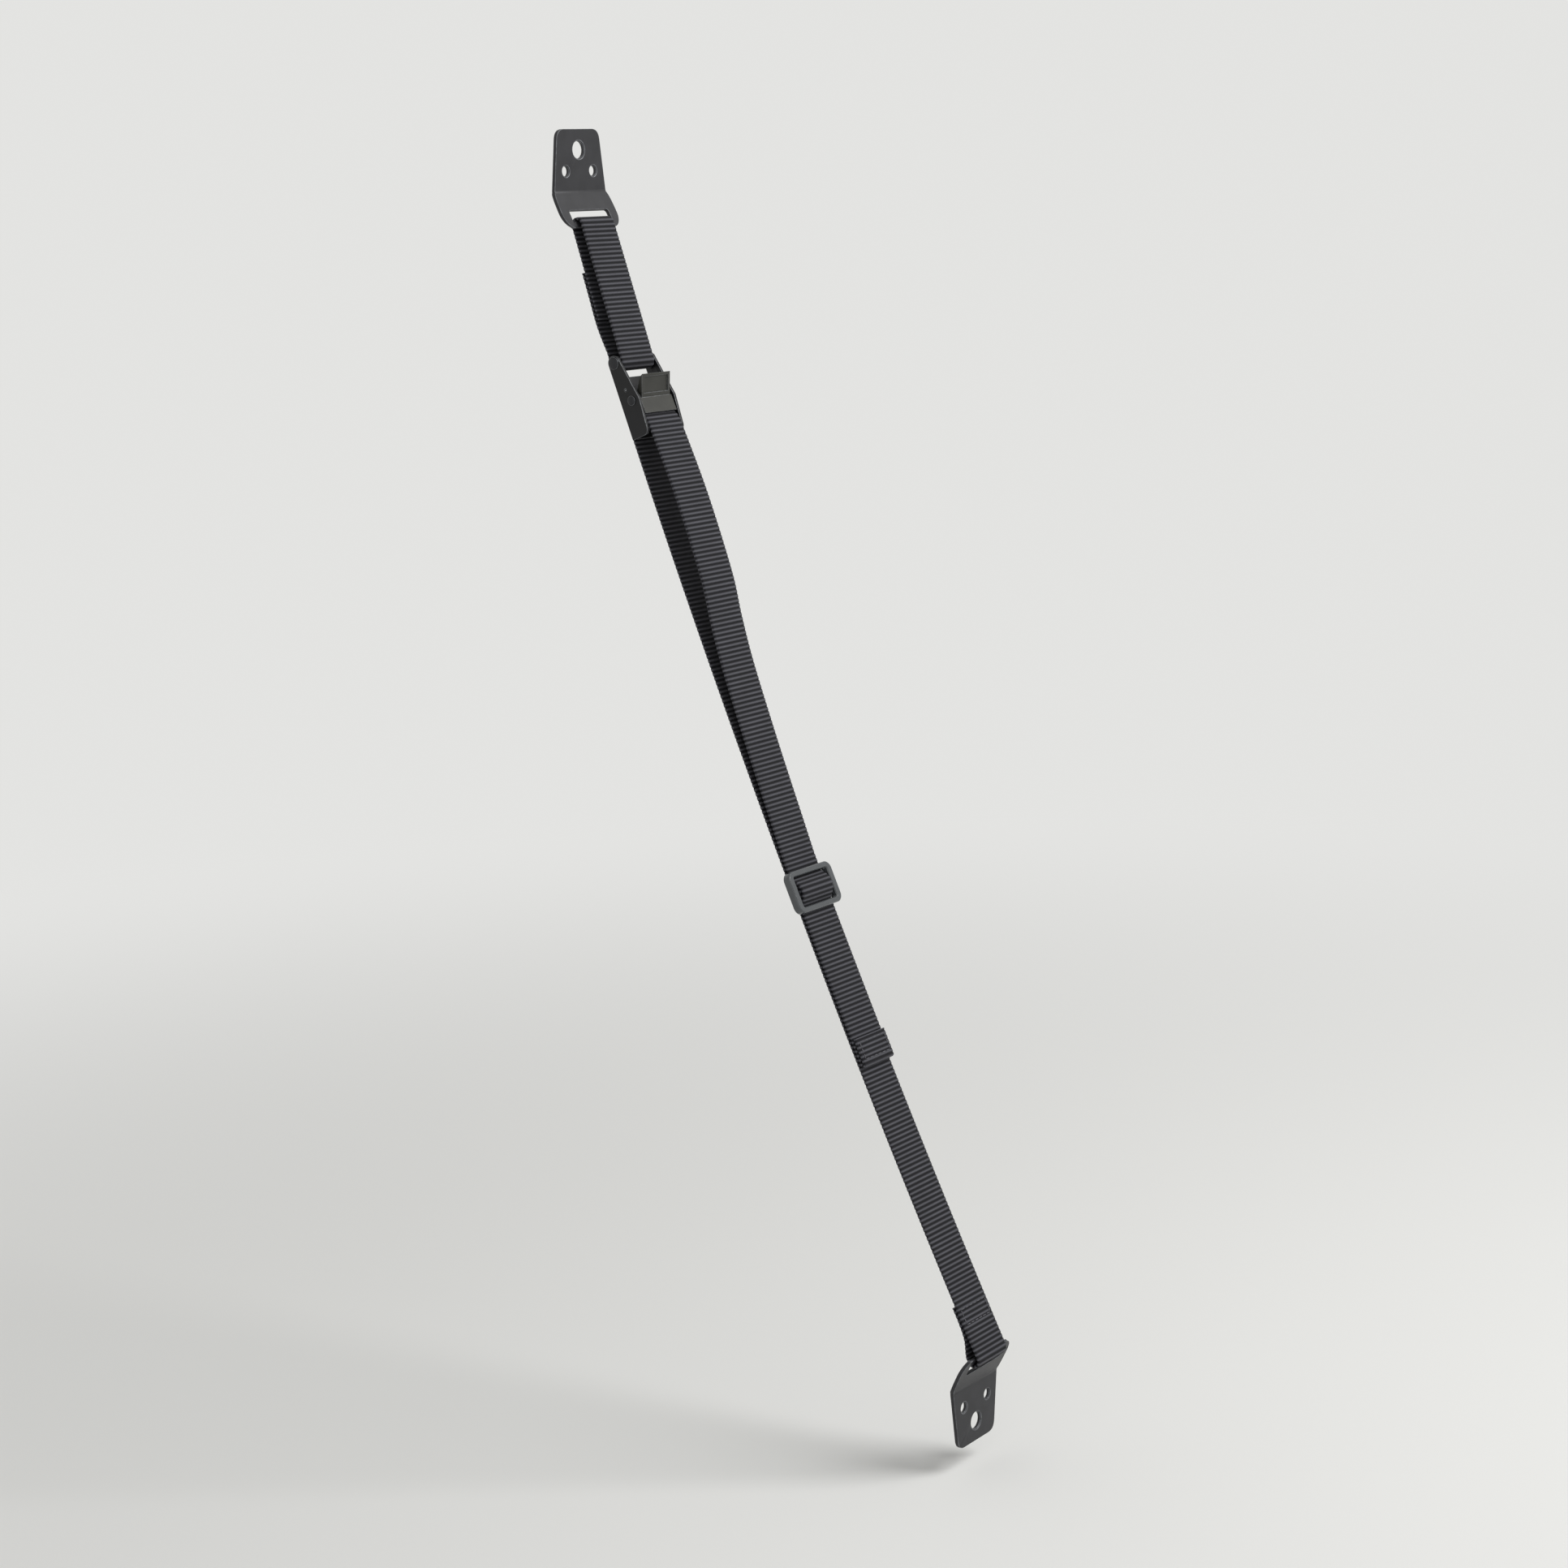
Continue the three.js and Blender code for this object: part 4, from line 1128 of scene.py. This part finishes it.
class STRAP_OT_stage(bpy.types.Operator):
    """Set out the floor, the soft lamps and the camera"""

    bl_idname = "strap.stage"
    bl_label = "Stage"

    def execute(self, context):
        scene = context.scene
        stage = scene.strap_stage
        low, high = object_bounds()
        centre = (low + high) / 2

        scene.view_settings.view_transform = "Standard"
        floor_mesh = bpy.data.meshes.new("floor")
        corners = ((-1, -1), (1, -1), (1, 1), (-1, 1))
        floor_mesh.from_pydata(
            [(x * FLOOR_REACH, y * FLOOR_REACH, 0) for x, y in corners],
            [],
            [(0, 1, 2, 3)],
        )
        floor = bpy.data.objects.new("floor", floor_mesh)
        floor.location = (centre.x, centre.y, low.z - FLOOR_DROP)
        scene.collection.objects.link(floor)
        floor_mesh.materials.append(fading_floor(stage.floor))
        floor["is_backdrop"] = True

        world = bpy.data.worlds.new("even_daylight")
        scene.world = world
        world.use_nodes = True
        air = world.node_tree
        back = air.nodes["Background"]
        rays = add_node(air, "ShaderNodeLightPath")
        seen = add_node(
            air,
            "ShaderNodeMath",
            operation="MAXIMUM",
            links={
                0: rays.outputs["Is Camera Ray"],
                1: rays.outputs["Is Glossy Ray"],
            },
        )
        strength = add_node(
            air,
            "ShaderNodeMapRange",
            values={"To Min": stage.daylight, "To Max": BACK_GLOW},
            links={"Value": seen.outputs["Value"]},
        )
        back.inputs["Color"].default_value = (*stage.floor, 1.0)
        air.links.new(strength.outputs["Result"], back.inputs["Strength"])

        for name, place, power, size in (
            ("key_lamp", KEY_PLACE, stage.key, KEY_SIZE),
            ("fill_lamp", FILL_PLACE, stage.fill, FILL_SIZE),
        ):
            lamp = bpy.data.lights.new(name, "AREA")
            lamp.energy = power
            lamp.size = size
            holder = bpy.data.objects.new(name, lamp)
            holder.location = centre + place
            holder.rotation_euler = (-place).to_track_quat("-Z", "Y").to_euler()
            scene.collection.objects.link(holder)

        ahead = (centre - CAMERA_PLACE).normalized()
        right = ahead.cross(CAMERA_UP).normalized()
        up = right.cross(ahead)
        turn = Matrix((right, up, -ahead)).transposed().to_4x4()
        lens = bpy.data.cameras.new("camera")
        lens.lens = stage.lens
        camera = bpy.data.objects.new("camera", lens)
        camera.matrix_world = Matrix.Translation(CAMERA_PLACE) @ turn
        scene.collection.objects.link(camera)
        scene.camera = camera
        return {"FINISHED"}


class STRAP_PT_panel(bpy.types.Panel):
    """Lists the pieces of the strap and their settings"""

    bl_label = "Anti-tip strap"
    bl_idname = "STRAP_PT_panel"
    bl_space_type = "VIEW_3D"
    bl_region_type = "UI"
    bl_category = "Strap"

    def draw(self, context):
        for settings in ("strap_webbing", "strap_metal", "strap_slide", "strap_stage"):
            box = self.layout.box()
            group = getattr(context.scene, settings)
            for name in group.bl_rna.properties.keys():
                if name not in ("rna_type", "name"):
                    box.prop(group, name)
        for operator in OPERATORS:
            self.layout.operator(operator.bl_idname)


OPERATORS = (
    STRAP_OT_brackets,
    STRAP_OT_webbing,
    STRAP_OT_stitching,
    STRAP_OT_buckle,
    STRAP_OT_lever,
    STRAP_OT_spring,
    STRAP_OT_slide,
    STRAP_OT_stage,
)
SETTINGS = {
    "strap_webbing": StrapWebbingSettings,
    "strap_metal": StrapMetalSettings,
    "strap_slide": StrapSlideSettings,
    "strap_stage": StrapStageSettings,
}


def register():
    for name, group in SETTINGS.items():
        bpy.utils.register_class(group)
        setattr(bpy.types.Scene, name, PointerProperty(type=group))
    for kind in (*OPERATORS, STRAP_PT_panel):
        bpy.utils.register_class(kind)


def unregister():
    for kind in (STRAP_PT_panel, *reversed(OPERATORS)):
        bpy.utils.unregister_class(kind)
    for name, group in SETTINGS.items():
        delattr(bpy.types.Scene, name)
        bpy.utils.unregister_class(group)


def main():
    """Builds every piece and the stage."""
    register()
    for operator in OPERATORS:
        group, name = operator.bl_idname.split(".")
        getattr(getattr(bpy.ops, group), name)()


if __name__ == "__main__":
    main()
